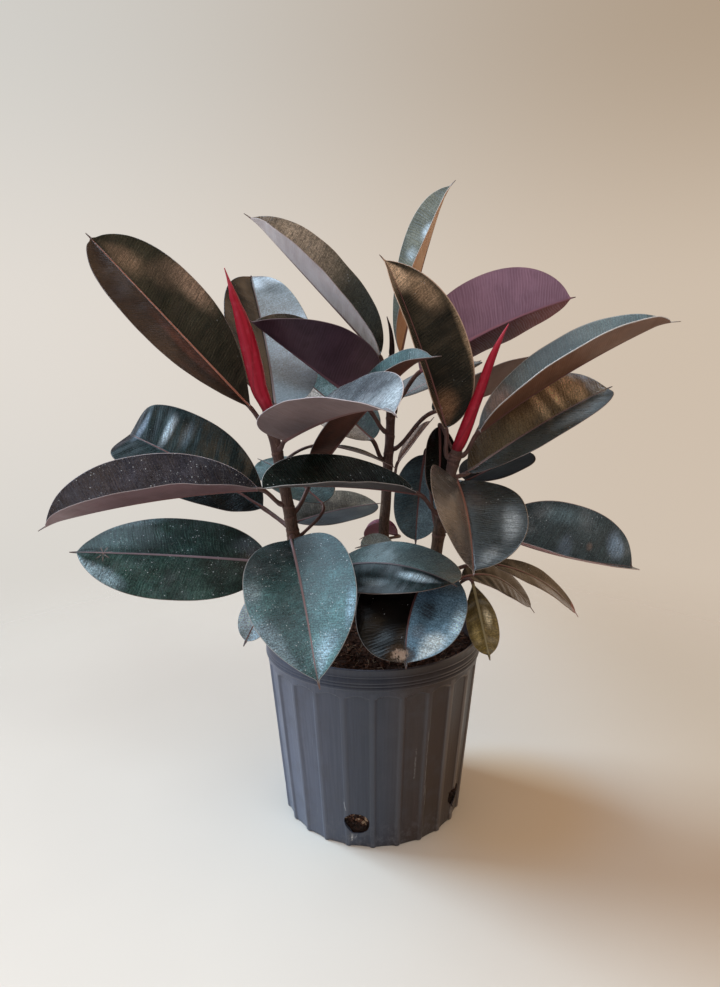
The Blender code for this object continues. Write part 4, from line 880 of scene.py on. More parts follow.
def leaf_body(leaf, look, seed):
    """Points, faces and shading coordinates of one leaf with its stalk."""
    leaf = (*leaf[:12], {**leaf[12], **look["shape"]})
    length = leaf[6]
    count = int(np.clip(length / 2.3, 40, 92))
    ramp = np.linspace(0, 1, count)
    share = 0.62 * ramp + 0.38 * (0.5 - 0.5 * np.cos(math.pi * ramp))
    along = share * length
    centre, _, right, up = blade_frames(leaf, share)
    centre = centre + tip_curl(leaf, look, share)
    wide = half_width(leaf, share)
    stem_radius = STALK * float(np.clip(length / 150.0, 0.72, 1.0))
    wide = np.sqrt(wide**2 + (stem_radius * np.exp(-along / 5.0)) ** 2)
    u = across_samples(wide)
    sides = np.hstack([-u[:, :0:-1], u])  # left margin to right margin
    s = sides / wide[:, None]
    reach = np.abs(sides)

    aside, rise, slope = section(leaf, share[:, None] * np.ones_like(s), s)
    soft = 2.2 * np.clip(wide / 14.0, 0.05, 1.0)[:, None]
    eased = (np.sqrt(reach**2 + soft**2) - soft) / np.maximum(reach, 1e-6)
    rise = rise * eased
    slope = slope * reach / np.sqrt(reach**2 + soft**2)

    # Waves in the blade: a frilled margin, quilting between veins, slow dents.
    ends = (smoothstep(share, 0.0, 0.12) * smoothstep(1 - share, 0.0, 0.10))[:, None]
    x = along[:, None] * np.ones_like(s)
    margin_wave = waves(seed * 11 + 1, 38, 95, 5)
    dent = waves(seed * 11 + 2, 26, 80, 9)
    vein_at = x - 0.36 * reach + 0.0012 * reach**2 + 2.0 * dent(x * 0.7 + 50, sides)
    quilt = np.sin(2 * math.pi * vein_at / 14.0 + seed) * np.clip(1 - (2 * np.abs(s) - 1.05) ** 2, 0, 1)
    shift = look["frill"] * np.abs(s) ** 2.4 * margin_wave(x, np.sign(sides) * 60)
    shift = shift + look["ripple"] * quilt
    shift = shift + look["dents"] * dent(x, sides) * np.clip(np.abs(s) * 3, 0, 1) * (1 - 0.5 * np.abs(s) ** 4)
    shift = shift * ends

    # Thickness: the blade with its rounded rim, and the midrib on both sides.
    inside = wide[:, None] - reach
    rim_wide = np.minimum(1.0, 0.5 * wide)[:, None]
    curve = np.sqrt(np.clip(1 - (1 - np.clip(inside / rim_wide, 0, 1)) ** 2, 0, 1))
    skin = 0.5 * BLADE * curve * np.clip(wide / 3.0, 0.35, 1.0)[:, None]
    fade = np.exp(-along / 8.0)
    top_high = 0.40 * (1 - 0.55 * share) + 0.35 + (stem_radius - 0.75) * fade
    top_wide = 1.35 * (1 - 0.6 * share) + (stem_radius - 1.35) * fade
    low_high = (stem_radius - 0.35) * (1 - share) ** 0.75 + 0.45
    low_wide = (stem_radius - 0.75) * (1 - share) + 0.85
    low_wide = low_wide * (1 - fade) + stem_radius * fade
    low_high = low_high * (1 - fade) + stem_radius * fade

    def ridge(high, broad):
        broad = np.minimum(broad, wide)[:, None]
        return high[:, None] * np.sqrt(np.clip(1 - (reach / broad) ** 2, 0, 1))

    top = swell(skin, ridge(top_high, top_wide), 0.25)
    groove = 0.22 * np.exp(-(((reach - 2.6) / 1.3) ** 2)) * smoothstep(wide, 5, 14)[:, None]
    top = top - groove * (1 - fade[:, None])
    low = swell(skin, ridge(low_high, low_wide), 0.3)
    facing = up[:, None, :] * np.cos(slope)[..., None] - right[:, None, :] * np.sin(slope)[..., None]
    surface = (
        centre[:, None, :]
        + right[:, None, :] * (aside * wide[:, None])[..., None]
        + up[:, None, :] * (rise * wide[:, None])[..., None]
        + facing * shift[..., None]
    )
    above = surface + facing * top[..., None]
    below = surface - facing * low[..., None]
    m = sides.shape[1]
    rings = np.concatenate([above, below[:, m - 2:0:-1]], axis=1)
    ring_sides = np.concatenate([sides, sides[:, m - 2:0:-1]], axis=1)
    ring_inside = np.concatenate([inside, inside[:, m - 2:0:-1]], axis=1)
    face = np.ones(rings.shape[1])
    face[0] = face[m - 1] = 0.5
    face[m:] = 0.0
    ring_face = np.tile(face, (count, 1))

    # The stalk, from inside the stem's bark to the blade.
    steps = 22
    points, slopes, rights, ups = stalk(leaf, steps)
    w = np.linspace(0, 1, steps + 1)[:-1]
    gone = np.concatenate([[0], np.cumsum(np.linalg.norm(np.diff(points, axis=0), axis=1))])
    whole = gone[-1] + np.linalg.norm(np.array(leaf[2], float) - points[-1])
    points = points - slopes[0] * (2.6 * np.exp(-gone / 1.2))[:, None]
    thick = stem_radius * (0.93 + 0.10 * w**2) + 1.5 * np.exp(-gone / 3.2) * (stem_radius / STALK)
    thick = thick * (1 + 0.03 * np.sin(gone / 2.1 + seed))
    base_u = across_samples([1.0])[0]
    base_sides = np.concatenate([-base_u[:0:-1], base_u])
    full = np.sqrt(np.clip(1 - base_sides**2, 0, 1))
    ring_u = np.concatenate([base_sides, base_sides[m - 2:0:-1]])
    ring_v = np.concatenate([full, -full[m - 2:0:-1]])
    channel = 1 - 0.16 * np.exp(-((ring_u / 0.35) ** 2)) * (ring_v > 0)  # a shallow channel above
    ring_v = ring_v * channel
    stalk_rings = (
        points[:, None, :]
        + rights[:, None, :] * (thick[:, None] * ring_u[None, :])[..., None]
        + ups[:, None, :] * (thick[:, None] * ring_v[None, :])[..., None]
    )
    size = rings.shape[1]
    all_rings = np.concatenate([stalk_rings, rings])
    hubs = np.stack([stalk_rings[0].mean(0) - slopes[0] * 0.5, rings[-1].mean(0)])
    vertices = np.concatenate([all_rings.reshape(-1, 3), hubs])
    faces = outward(vertices, tube_faces(len(all_rings), size))

    back = -(whole - gone)
    stalk_blade = np.stack(
        [np.repeat(back, size), (thick[:, None] * ring_u[None, :]).ravel(), np.tile(np.where(ring_v > 0, 1.0, 0.0), steps)], -1
    )
    blade = np.stack([np.repeat(along, size), ring_sides.ravel(), ring_face.ravel()], -1)
    ends_blade = np.array([[back[0], 0, 0.5], [length, 0, 0.5]])
    blade_all = np.concatenate([stalk_blade, blade, ends_blade])
    edge_stalk = np.tile([9.0, 0.0, 0.0], (steps * size, 1))
    edge = np.stack([ring_inside.ravel(), np.repeat(share, size), np.abs(ring_sides / np.maximum(wide[:, None], 1e-6)).ravel()], -1)
    edge_all = np.concatenate([edge_stalk, edge, [[9.0, 0, 0], [0.2, 1.0, 0]]])
    return vertices, faces, {"blade": blade_all, "edge": edge_all}


for number, (leaf_name, leaf) in enumerate(LEAVES.items()):
    leaf_look = look_of(leaf_name)
    body_points, body_faces, body_layers = leaf_body(leaf, leaf_look, number + 3)
    new_piece(
        leaf_name.replace("leaf_", "blade_"),
        body_points,
        body_faces,
        leaf_material("skin_" + leaf_name[5:], leaf, leaf_look, number + 3),
        node=leaf_name,
        attributes=body_layers,
    )


# ---------------------------------------------------------------- stems
def bark_material():
    material, t = new_material("bark_brown")
    place = t.place()
    x, y, z = t.split(place)
    ring = t.attribute("ring", "Fac")
    scar = t.attribute("scar", "Fac")
    long_grain = t.noise(t.vector(t.mul(x, 0.9), t.mul(y, 0.9), t.mul(z, 0.16)), 1.0, 5.0, 0.68)
    blotch = t.noise(place, 0.07, 4.0, 0.6)
    colour = t.mix(t.step(long_grain, 0.36, 0.66), (0.050, 0.027, 0.018), (0.165, 0.098, 0.064))
    colour = t.mix(t.mul(t.step(blotch, 0.45, 0.7), 0.5), colour, (0.095, 0.075, 0.055))
    young = t.step(z, 330.0, 455.0)
    colour = t.mix(t.mul(young, 0.65), colour, (0.095, 0.046, 0.044))
    colour = t.mix(t.mul(ring, 0.75), colour, (0.050, 0.026, 0.020))
    colour = t.mix(t.mul(scar, 0.8), colour, (0.260, 0.130, 0.105))
    corky, dice = t.cells(place, 0.45)
    dots = t.mul(t.step(corky, 0.34, 0.16), t.step(t.split(dice)[0], 0.62, 0.7))
    colour = t.mix(t.mul(dots, 0.5), colour, (0.27, 0.20, 0.15))
    height = t.add(t.mul(long_grain, 0.55), t.mul(dots, 0.2))
    height = t.add(height, t.mul(t.noise(place, 1.3, 4.0, 0.6), 0.2))
    t.surface(Base_Color=colour, Roughness=t.step(long_grain, 0.3, 0.7, 0.85, 0.62), IOR=1.45, Normal=t.bump(height))
    return material


def smooth_rows(rows, spacing):
    """The rows of a tube, read at even steps along a smooth curve through them."""
    rows = np.array(rows, float)
    s = np.concatenate([[0], np.cumsum(np.linalg.norm(np.diff(rows[:, :3], axis=0), axis=1))])
    count = max(int(s[-1] / spacing), 8)
    at = np.linspace(0, s[-1], count)
    slope = np.gradient(rows, s, axis=0)
    k = np.clip(np.searchsorted(s, at, side="right") - 1, 0, len(s) - 2)
    h = (s[k + 1] - s[k])[:, None]
    f = ((at - s[k])[:, None]) / h
    a, b = rows[k], rows[k + 1]
    da, db = slope[k] * h, slope[k + 1] * h
    return at, a * (2 * f**3 - 3 * f**2 + 1) + da * (f**3 - 2 * f**2 + f) + b * (3 * f**2 - 2 * f**3) + db * (f**3 - f**2)


def tube_frames(centres):
    ahead = unit(np.gradient(centres, axis=0))
    right = unit(np.array([1.0, 0.0, 0.0]) - ahead * ahead[:, :1])
    return ahead, right, np.cross(ahead, right)


def stem_body(side, seed):
    rows = [list(r) for r in STEMS[side]]
    at, line = smooth_rows(rows, 1.35)
    centres, radius = line[:, :3], line[:, 3]
    _, right, back = tube_frames(centres)
    round_count = 36
    angle = np.arange(round_count) * 2 * math.pi / round_count
    z = centres[:, 2]
    rng = np.random.default_rng(seed)
    grow = np.zeros((len(at), round_count))
    ring = np.zeros((len(at), round_count))
    scar = np.zeros((len(at), round_count))
    joints = []
    for name, leaf in LEAVES.items():
        if leaf[0] == side:
            middle, _, _ = stem_at(side, leaf[1])
            way = math.atan2(leaf[2][1] - middle[1], leaf[2][0] - middle[0])
            joints.append((leaf[1] - 4.5, way, False))
    lowest = min(j[0] for j in joints)
    height, way = lowest - rng.uniform(14, 18), rng.uniform(0, 6.28)
    while height > 208:  # scars of the leaves that have dropped
        joints.append((height, way, True))
        height -= rng.uniform(13, 19)
        way += math.radians(137.5)
    for height, way, bare in joints:
        tilt = 1.2 * np.cos(angle - way)[None, :]
        off = (z[:, None] - height) - tilt
        band = np.exp(-((off / 1.1) ** 2))
        grow += 0.42 * band - 0.18 * np.exp(-(((off - 2.6) / 1.2) ** 2))
        grow += 0.45 * np.exp(-((off / 6.0) ** 2))
        ring = np.maximum(ring, 0.9 * np.exp(-(((off - 1.6) / 0.8) ** 2)))
        if bare:
            swing = (angle - way + math.pi) % (2 * math.pi) - math.pi
            swing = swing[None, :] * radius[:, None]
            oval = np.sqrt((swing / 4.6) ** 2 + ((z[:, None] - height - 4.2) / 3.4) ** 2)
            grow += 0.75 * np.exp(-(((oval - 0.95) / 0.22) ** 2)) - 0.1 * (oval < 0.7)
            scar = np.maximum(scar, 1 - smoothstep(oval, 0.75, 1.0))
        else:
            scar = np.maximum(scar, 0.5 * band)
    rough = waves(seed + 5, 5, 24, 10)
    grow += 0.16 * rough(z[:, None] * 0.4, angle[None, :] * radius[:, None])
    thick = radius[:, None] + grow
    points = (
        centres[:, None, :]
        + right[:, None, :] * (thick * np.cos(angle)[None, :])[..., None]
        + back[:, None, :] * (thick * np.sin(angle)[None, :])[..., None]
    )
    points = np.concatenate([points.reshape(-1, 3), centres[:1], centres[-1:] + (0, 0, 0.6)])
    faces = outward(points, tube_faces(len(at), round_count))
    pad = np.zeros(2)
    return points, faces, {"ring": np.concatenate([ring.ravel(), pad]), "scar": np.concatenate([scar.ravel(), pad])}


BARK = bark_material()
for number, stem_side in enumerate(STEMS):
    body_points, body_faces, body_layers = stem_body(stem_side, 40 + number)
    new_piece("bark_" + stem_side, body_points, body_faces, BARK, node="stem_" + stem_side, attributes=body_layers)


# ---------------------------------------------------------------- bud sheaths
def sheath_material(name, main, deep, pale, rough):
    material, t = new_material(name)
    along, round_, seam = t.split(t.attribute("bud"))
    here = t.vector(t.mul(along, 0.03), t.mul(round_, 1.7), 3.0)
    streak = t.noise(here, 1.6, 4.0, 0.6)
    colour = t.mix(t.step(streak, 0.34, 0.68), deep, main)
    colour = t.mix(t.mul(t.step(t.noise(t.place(), 0.12, 3.0), 0.5, 0.75), 0.35), colour, pale)
    colour = t.mix(t.mul(t.step(along, 0.80, 0.97), 0.7), colour, pale)
    colour = t.mix(t.mul(t.step(along, 0.10, 0.0), 0.6), colour, tuple(0.35 * c for c in deep))
    colour = t.mix(t.mul(seam, 0.55), colour, tuple(0.4 * c for c in deep))
    t.surface(
        Base_Color=colour,
        Roughness=t.step(streak, 0.3, 0.7, rough, rough + 0.14),
        IOR=1.45,
        Normal=t.bump(t.add(t.mul(streak, 0.18), t.mul(t.noise(t.place(), 0.9, 3.0), 0.06))),
    )
    return material


def sheath_body(side, turns, start):
    rows = [list(r) for r in SHEATHS[side]]
    first = list(rows[0])
    first[2] -= 3.0
    first[3] -= 0.6
    at, line = smooth_rows([first] + rows, 1.1)
    centres, radius = line[:, :3], np.maximum(line[:, 3], 0.35)
    _, right, back = tube_frames(centres)
    count = 40
    angle = np.arange(count) * 2 * math.pi / count
    share = at / at[-1]
    seam_at = start + 2 * math.pi * turns * share
    swing = (angle[None, :] - seam_at[:, None] + math.pi) % (2 * math.pi) - math.pi
    gap = swing * radius[:, None]
    # One edge of the wrapped sheath stands a little over the other.
    lift = 0.45 * np.exp(-np.clip(gap, 0, None) / 3.5) * (gap >= 0) - 0.25 * np.exp(-((gap / 0.7) ** 2))
    lift = lift * (smoothstep(share, 0.0, 0.15) * smoothstep(1 - share, 0.0, 0.25) * np.clip(radius / 6.0, 0.1, 1))[:, None]
    thick = radius[:, None] + lift
    points = (
        centres[:, None, :]
        + right[:, None, :] * (thick * np.cos(angle)[None, :])[..., None]
        + back[:, None, :] * (thick * np.sin(angle)[None, :])[..., None]
    )
    points = np.concatenate([points.reshape(-1, 3), centres[:1], centres[-1:] + (0, 0, 0.5)])
    faces = outward(points, tube_faces(len(at), count))
    seam = np.exp(-((gap / 0.8) ** 2))
    layer = np.stack([np.repeat(share, count), np.tile(np.cos(angle), len(at)), seam.ravel()], -1)
    return points, faces, {"bud": np.concatenate([layer, [[0, 0, 0], [1, 0, 0]]])}


CRIMSON = sheath_material("bud_crimson", (0.50, 0.014, 0.040), (0.33, 0.006, 0.018), (0.60, 0.085, 0.120), 0.34)
BUD_BROWN = sheath_material("bud_brown", (0.050, 0.022, 0.020), (0.020, 0.009, 0.009), (0.110, 0.050, 0.042), 0.40)
for bud_side, turns, start, material in (
    ("left", 0.55, 3.6, CRIMSON),
    ("middle", 0.4, 4.2, BUD_BROWN),
    ("right", 0.6, 3.9, CRIMSON),
):
    body_points, body_faces, body_layers = sheath_body(bud_side, turns, start)
    new_piece(
        "bud_" + bud_side,
        body_points,
        body_faces,
        material,
        node="sheath_" + bud_side,
        attributes=body_layers,
    )


# ---------------------------------------------------------------- pot
def pot_material():
    material, t = new_material("nursery_plastic")
    place = t.place()
    x, y, z = t.split(place)
    turn = t.math("ARCTAN2", y, x)
    streaks = t.noise(t.vector(t.mul(turn, 46.0), t.mul(z, 0.012), 1.0), 1.0, 5.0, 0.62)
    mottled = t.noise(place, 0.045, 5.0, 0.62)
    speckle = t.noise(place, 1.7, 3.0, 0.75)
    # Painted light: cool blue-grey on the left, where the key light falls, dark warm brown on the right, in shade, and
    # paler slate at the far left for the key light's cool sheen.
    cool = t.mix(t.step(streaks, 0.32, 0.72), (0.023, 0.030, 0.050), (0.036, 0.045, 0.070))
    brown = t.mix(t.step(streaks, 0.32, 0.72), (0.027, 0.018, 0.017), (0.041, 0.027, 0.026))
    colour = t.mix(t.step(x, 2.0, 48.0), cool, brown)
    left_painted_sheen = t.mix(t.step(streaks, 0.32, 0.72), (0.088, 0.106, 0.160), (0.126, 0.147, 0.208))
    colour = t.mix(t.step(x, 5.0, -100.0), colour, left_painted_sheen)
    colour = t.mix(t.mul(t.step(mottled, 0.45, 0.75), 0.3), colour, (0.060, 0.064, 0.078))
    colour = t.mix(t.mul(t.step(z, 202.0, 207.0), 0.3), colour, (0.012, 0.013, 0.017))
    colour = t.mix(t.mul(t.step(speckle, 0.60, 0.74), 0.22), colour, (0.26, 0.25, 0.24))
    # Rubs: short upright scratches and a dusty foot.
    rub = t.noise(t.vector(t.mul(turn, 150.0), t.mul(z, 0.022), 7.0), 1.0, 2.0, 0.5)
    rub_where = t.step(t.noise(place, 0.018, 2.0), 0.52, 0.66)
    rub = t.mul(t.step(rub, 0.70, 0.78), rub_where)
    colour = t.mix(t.mul(rub, 0.45), colour, (0.33, 0.33, 0.34))
    foot = t.mul(t.step(z, 46.0, 4.0), t.step(t.noise(place, 0.16, 4.0, 0.7), 0.42, 0.72))
    colour = t.mix(t.mul(foot, 0.40), colour, (0.17, 0.175, 0.195))
    # Ridges, the panels' arched tops, the beads and the top of the lip are paler, partly wear and partly a painted
    # highlight; on the right the ridges get a warm painted highlight.
    ridge_wear_and_highlight = t.attribute("wear_and_highlight", "Fac")
    colour = t.mix(t.mul(ridge_wear_and_highlight, 0.19), colour, (0.21, 0.220, 0.245))
    colour = t.mix(t.mul(ridge_wear_and_highlight, t.step(x, 62.0, 100.0, 0.0, 0.8)), colour, (0.30, 0.245, 0.200))
    broken = t.step(t.noise(place, 0.35, 3.0, 0.7), 0.38, 0.55)
    for azimuth, shift, low, high, wide, lean, amount in (
        (-100.0, -10.6, 47.0, 64.0, 0.75, -0.24, 0.75),
        (-100.0, -12.4, 53.0, 60.0, 0.6, -0.1, 0.6),
        (-100.0, -5.6, 6.0, 19.0, 1.5, 0.10, 0.85),
        (-100.0, -1.8, 9.0, 19.0, 0.7, 0.30, 0.5),
        (-58.0, 0.0, 41.0, 78.0, 0.7, 0.0, 0.36),
        (-58.0, -3.2, 60.0, 150.0, 0.6, 0.0, 0.22),
        (-66.0, 0.0, 84.0, 128.0, 1.3, 0.02, 0.16),
    ):
        a = math.radians(azimuth)
        across = t.sub(t.mul(y, math.cos(a)), t.mul(x, math.sin(a)))
        facing = t.step(t.add(t.mul(x, math.cos(a)), t.mul(y, math.sin(a))), 50.0, 60.0)
        wobble = t.noise(t.vector(shift, azimuth, t.mul(z, 0.10)), 1.0, 3.0, 0.6)
        centre = t.add(t.mul(t.sub(z, low), lean), t.mul(t.sub(wobble, 0.5), 3.0))
        off = t.math("ABSOLUTE", t.sub(t.sub(across, shift), centre))
        span = t.mul(t.step(z, low, low + 3.0), t.step(z, high, high - 8.0))
        line = t.mul(t.mul(t.step(off, wide, 0.3 * wide), span), t.mul(facing, broken))
        colour = t.mix(t.mul(line, amount), colour, (0.52, 0.53, 0.54))
    flash = t.attribute("flash", "Fac")
    flash = t.mul(flash, t.step(t.noise(place, 0.42, 4.0, 0.7), 0.46, 0.60))
    colour = t.mix(t.mul(flash, 0.16), colour, (0.60, 0.60, 0.59))
    rough = t.add(t.step(streaks, 0.3, 0.7, 0.33, 0.46), t.mul(t.sub(mottled, 0.5), 0.2))
    height = t.add(t.mul(t.noise(place, 0.55, 3.0, 0.6), 0.10), t.mul(t.noise(place, 3.2, 2.0), 0.035))
    height = t.add(height, t.mul(streaks, 0.06))
    t.surface(Base_Color=colour, Roughness=t.add(rough, t.mul(foot, 0.2)), IOR=1.5, Normal=t.bump(height))
    return material


PITCH = 2 * math.pi / FLUTES
# Share of a flute's pitch, and how far it is recessed there (1 is the panel).
FLUTE_PROFILE = [
    (0.000, 0.0), (0.038, 0.0), (0.062, 0.07), (0.095, 0.46), (0.128, 0.92), (0.155, 1.10), (0.20, 1.17), (0.30, 1.35),
    (0.40, 1.46), (0.50, 1.50), (0.60, 1.46), (0.70, 1.35), (0.80, 1.17), (0.845, 1.10), (0.872, 0.92), (0.905, 0.46),
    (0.938, 0.07), (0.962, 0.0),
]


def pot_body():
    shares = np.array([p[0] for p in FLUTE_PROFILE])
    depth = np.array([p[1] for p in FLUTE_PROFILE])
    per = len(shares)
    angle = (np.arange(FLUTES)[:, None] + shares[None, :]).ravel() * PITCH
    depth = np.tile(depth, FLUTES)
    middle = np.tile(np.abs(shares - 0.5) * 2, FLUTES)
    n = len(angle)
    band_foot = POT_HEIGHT - RIM_BAND
    # The paler ridges, panel tops, beads and lip top marked here are partly wear and partly a painted highlight.
    rows, wear_and_highlight = [], []

    def fluted(z, share, out=0.0, wear_and_highlight_share=0.0):
        arch = 3.2 * (1 - np.clip(middle / 0.72, 0, 1) ** 2)  # the panels' tops are slightly arched
        top = FLUTE_TOP - 2.0 + arch
        end = smoothstep(top - z, -0.9, 0.9)
        rows.append((np.full(n, z), wall_radius(z) + out - FLUTE_DEPTH * depth * share * end))
        wear_and_highlight.append(np.where(depth < 0.5, wear_and_highlight_share, 0.0) + 0.8 * np.where((np.abs(top - z) < 1.2) & (depth > 0.5), 1, 0))

    def plain(z, r, wear_and_highlight_share=0.0):
        rows.append((np.full(n, float(z)), np.full(n, float(r))))
        wear_and_highlight.append(np.full(n, wear_and_highlight_share))

    # Up the outside.
    foot_radius = wall_radius(0.0)
    rows.append((np.full(n, 0.0), foot_radius - 1.1 - FLUTE_DEPTH * depth * 0.85))
    wear_and_highlight.append(np.zeros(n))
    fluted(0.5, 1.0, -0.35, 0.5)
    fluted(1.4, 1.0, 0.0, 0.6)
    for z in np.linspace(6, 186, 31):
        fluted(z, 1.0, 0.0, 0.45)
    for z in np.linspace(190.0, 198.4, 15):
        fluted(z, 1.0, 0.0, 0.3)
    plain(200.0, wall_radius(200.0))
    plain(band_foot - 1.2, wall_radius(band_foot - 1.2))
    plain(band_foot - 0.7, wall_radius(band_foot) + 0.25)
    plain(band_foot - 0.35, RIM_RADIUS - 0.45)
    plain(band_foot + 0.1, RIM_RADIUS - 0.08, 0.7)
    plain(band_foot + 0.9, RIM_RADIUS)
    for bead in (band_foot + 4.8, band_foot + 8.2, band_foot + 14.6):
        for step, out in ((-1.7, -0.25), (-1.0, -0.62), (-0.55, -0.15), (-0.1, 0.0), (0.5, -0.02), (1.0, -0.2)):
            plain(bead + step, RIM_RADIUS + out - 0.05, 0.55 if step in (-0.1, 0.5) else 0.0)
    plain(POT_HEIGHT - 6.5, RIM_RADIUS - 0.35)
    plain(POT_HEIGHT - 4.0, RIM_RADIUS - 0.25)
    for a in np.linspace(-0.25, math.pi, 11):  # the rolled lip
        plain(POT_HEIGHT - 1.35 + 1.35 * math.sin(a), RIM_RADIUS - 1.45 + 1.45 * math.cos(a), 0.6 if 0.4 < a < 2.0 else 0.1)
    # Down the inside.
    plain(POT_HEIGHT - 4.5, RIM_RADIUS - 2.7)
    plain(band_foot + 2.0, RIM_RADIUS - 3.2)
    plain(band_foot - 1.5, wall_radius(band_foot) - WALL - 0.6)
    plain(band_foot - 8.0, wall_radius(band_foot - 8.0) - WALL - 0.5)
    for z in np.linspace(180, 12, 10):
        plain(z, wall_radius(z) - FLUTE_DEPTH - WALL)
    plain(FLOOR + 2.0, wall_radius(FLOOR) - FLUTE_DEPTH - WALL)
    plain(FLOOR, wall_radius(FLOOR) - FLUTE_DEPTH - WALL - 2.0)
    plain(FLOOR, 60.0)
    z = np.array([r[0] for r in rows])
    radius = np.array([r[1] for r in rows])
    # Under the base: a shallow recess inside the standing ring.
    under_z = np.array([0.0, 0.9, 0.9, 0.9])
    under_r = np.array([BASE_RADIUS - 9.0, BASE_RADIUS - 11.0, 70.0, 30.0])
    z = np.vstack([np.repeat(under_z[::-1, None], n, 1), z])
    radius = np.vstack([np.repeat(under_r[::-1, None], n, 1), radius])
    wear_and_highlight = np.vstack([np.zeros((4, n)), np.array(wear_and_highlight)])
    points = np.stack([radius * np.cos(angle), radius * np.sin(angle), z], -1)
    total = len(points)
    hubs = np.array([[0, 0, 0.9], [0, 0, FLOOR]])
    points = np.concatenate([points.reshape(-1, 3), hubs])
    faces = outward(points, tube_faces(total, n))
    return points, faces, np.concatenate([wear_and_highlight.ravel(), [0, 0]])


def hole_outline(count=40):
    """The drainage hole: flat above, with its lower left drawn to a point."""
    rows = []
    for i in range(count):
        a = 2 * math.pi * i / count
        x = HOLE_WIDTH / 2 * math.copysign(abs(math.cos(a)) ** 0.85, math.cos(a))
        y = HOLE_TALL / 2 * math.copysign(abs(math.sin(a)) ** 0.85, math.sin(a))
        x *= 0.94 + 0.05 * math.cos(a - 0.4) + 0.02 * math.sin(5 * a)
        y *= 0.97 + 0.02 * math.sin(3 * a + 1.0)
        if y > 0:
            y *= 0.93
        x += 7.0 * smoothstep(-y / (HOLE_TALL / 2)) * smoothstep(-x / (HOLE_WIDTH / 2))
        drawn = math.exp(-(((a - 4.15) / 0.28) ** 2))
        rows.append((x - 0.4 * drawn, y - 1.4 * drawn))
    return rows


def hole_cutter(index):
    azimuth = math.radians(HOLE_FIRST + 360.0 / HOLES * index)
    outline = hole_outline()
    points = []
    for reach in (90.0, 125.0):
        for x, y in outline:
            points.append((
                reach * math.cos(azimuth) - x * math.sin(azimuth),
                reach * math.sin(azimuth) + x * math.cos(azimuth),
                HOLE_HEIGHT + y,
            ))
    points += [(90 * math.cos(azimuth), 90 * math.sin(azimuth), HOLE_HEIGHT), (125 * math.cos(azimuth), 125 * math.sin(azimuth), HOLE_HEIGHT)]
    faces = outward(points, tube_faces(2, len(outline)))
    mesh = bpy.data.meshes.new("cut")
    mesh.from_pydata((np.array(points) * MM).tolist(), [], faces)
    obj = bpy.data.objects.new("cut", mesh)
    bpy.context.scene.collection.objects.link(obj)
    return obj


def apply_modifiers(obj):
    """Bakes the modifiers of obj into its mesh."""
    graph = bpy.context.evaluated_depsgraph_get()
    mesh = bpy.data.meshes.new_from_object(obj.evaluated_get(graph), preserve_all_data_layers=True, depsgraph=graph)
    obj.modifiers.clear()
    old = obj.data
    obj.data = mesh
    bpy.data.meshes.remove(old)


def build_pot():
    points, faces, wear_and_highlight = pot_body()
    flash = np.zeros(len(points))
    for index in range(HOLES):
        azimuth = math.radians(HOLE_FIRST + 360.0 / HOLES * index)
        across = -points[:, 0] * math.sin(azimuth) + points[:, 1] * math.cos(azimuth)
        facing = points[:, 0] * math.cos(azimuth) + points[:, 1] * math.sin(azimuth) > 60
        away = np.sqrt(((across + 5.0) / 4.6) ** 2 + ((points[:, 2] - HOLE_HEIGHT + 18.2) / 6.0) ** 2)
        flash = np.maximum(flash, facing * (1 - smoothstep(away, 0.4, 1.3)))
    pot = new_piece("pot_shell", points, faces, pot_material(), node="pot",
                    attributes={"wear_and_highlight": wear_and_highlight, "flash": flash})
    cutters = [hole_cutter(i) for i in range(HOLES)]
    for cutter in cutters:
        cut = pot.modifiers.new("hole", "BOOLEAN")
        cut.operation = "DIFFERENCE"
        cut.solver = "EXACT"
        cut.object = cutter
    bpy.context.view_layer.update()
    apply_modifiers(pot)
    for cutter in cutters:
        bpy.data.objects.remove(cutter, do_unlink=True)
    pot.data.shade_smooth()
    pot.data.set_sharp_from_angle(angle=math.radians(32))
    return pot


build_pot()


# ---------------------------------------------------------------- bark mix
def soil_material():
    material, t = new_material("bark_mix_brown")
    place = t.place()
    tone = t.attribute("tone", "Fac")
    fibre = t.noise(place, 0.55, 4.0, 0.7)
    colour = t.mix(t.step(tone, 0.0, 0.55), (0.016, 0.009, 0.007), (0.070, 0.030, 0.020))
    colour = t.mix(t.step(tone, 0.5, 0.85), colour, (0.170, 0.080, 0.050))
    colour = t.mix(t.step(tone, 0.88, 0.97), colour, (0.380, 0.270, 0.180))
    colour = t.mix(t.mul(t.step(fibre, 0.42, 0.7), 0.5), colour, (0.022, 0.012, 0.009))
    height = t.add(t.mul(fibre, 0.9), t.mul(t.noise(place, 2.2, 3.0, 0.7), 0.3))
    t.surface(Base_Color=colour, Roughness=t.step(fibre, 0.3, 0.7, 0.96, 0.78), IOR=1.4, Normal=t.bump(height))
    return material


def soil_side(z):
    return wall_radius(z) - FLUTE_DEPTH - WALL - 1.2


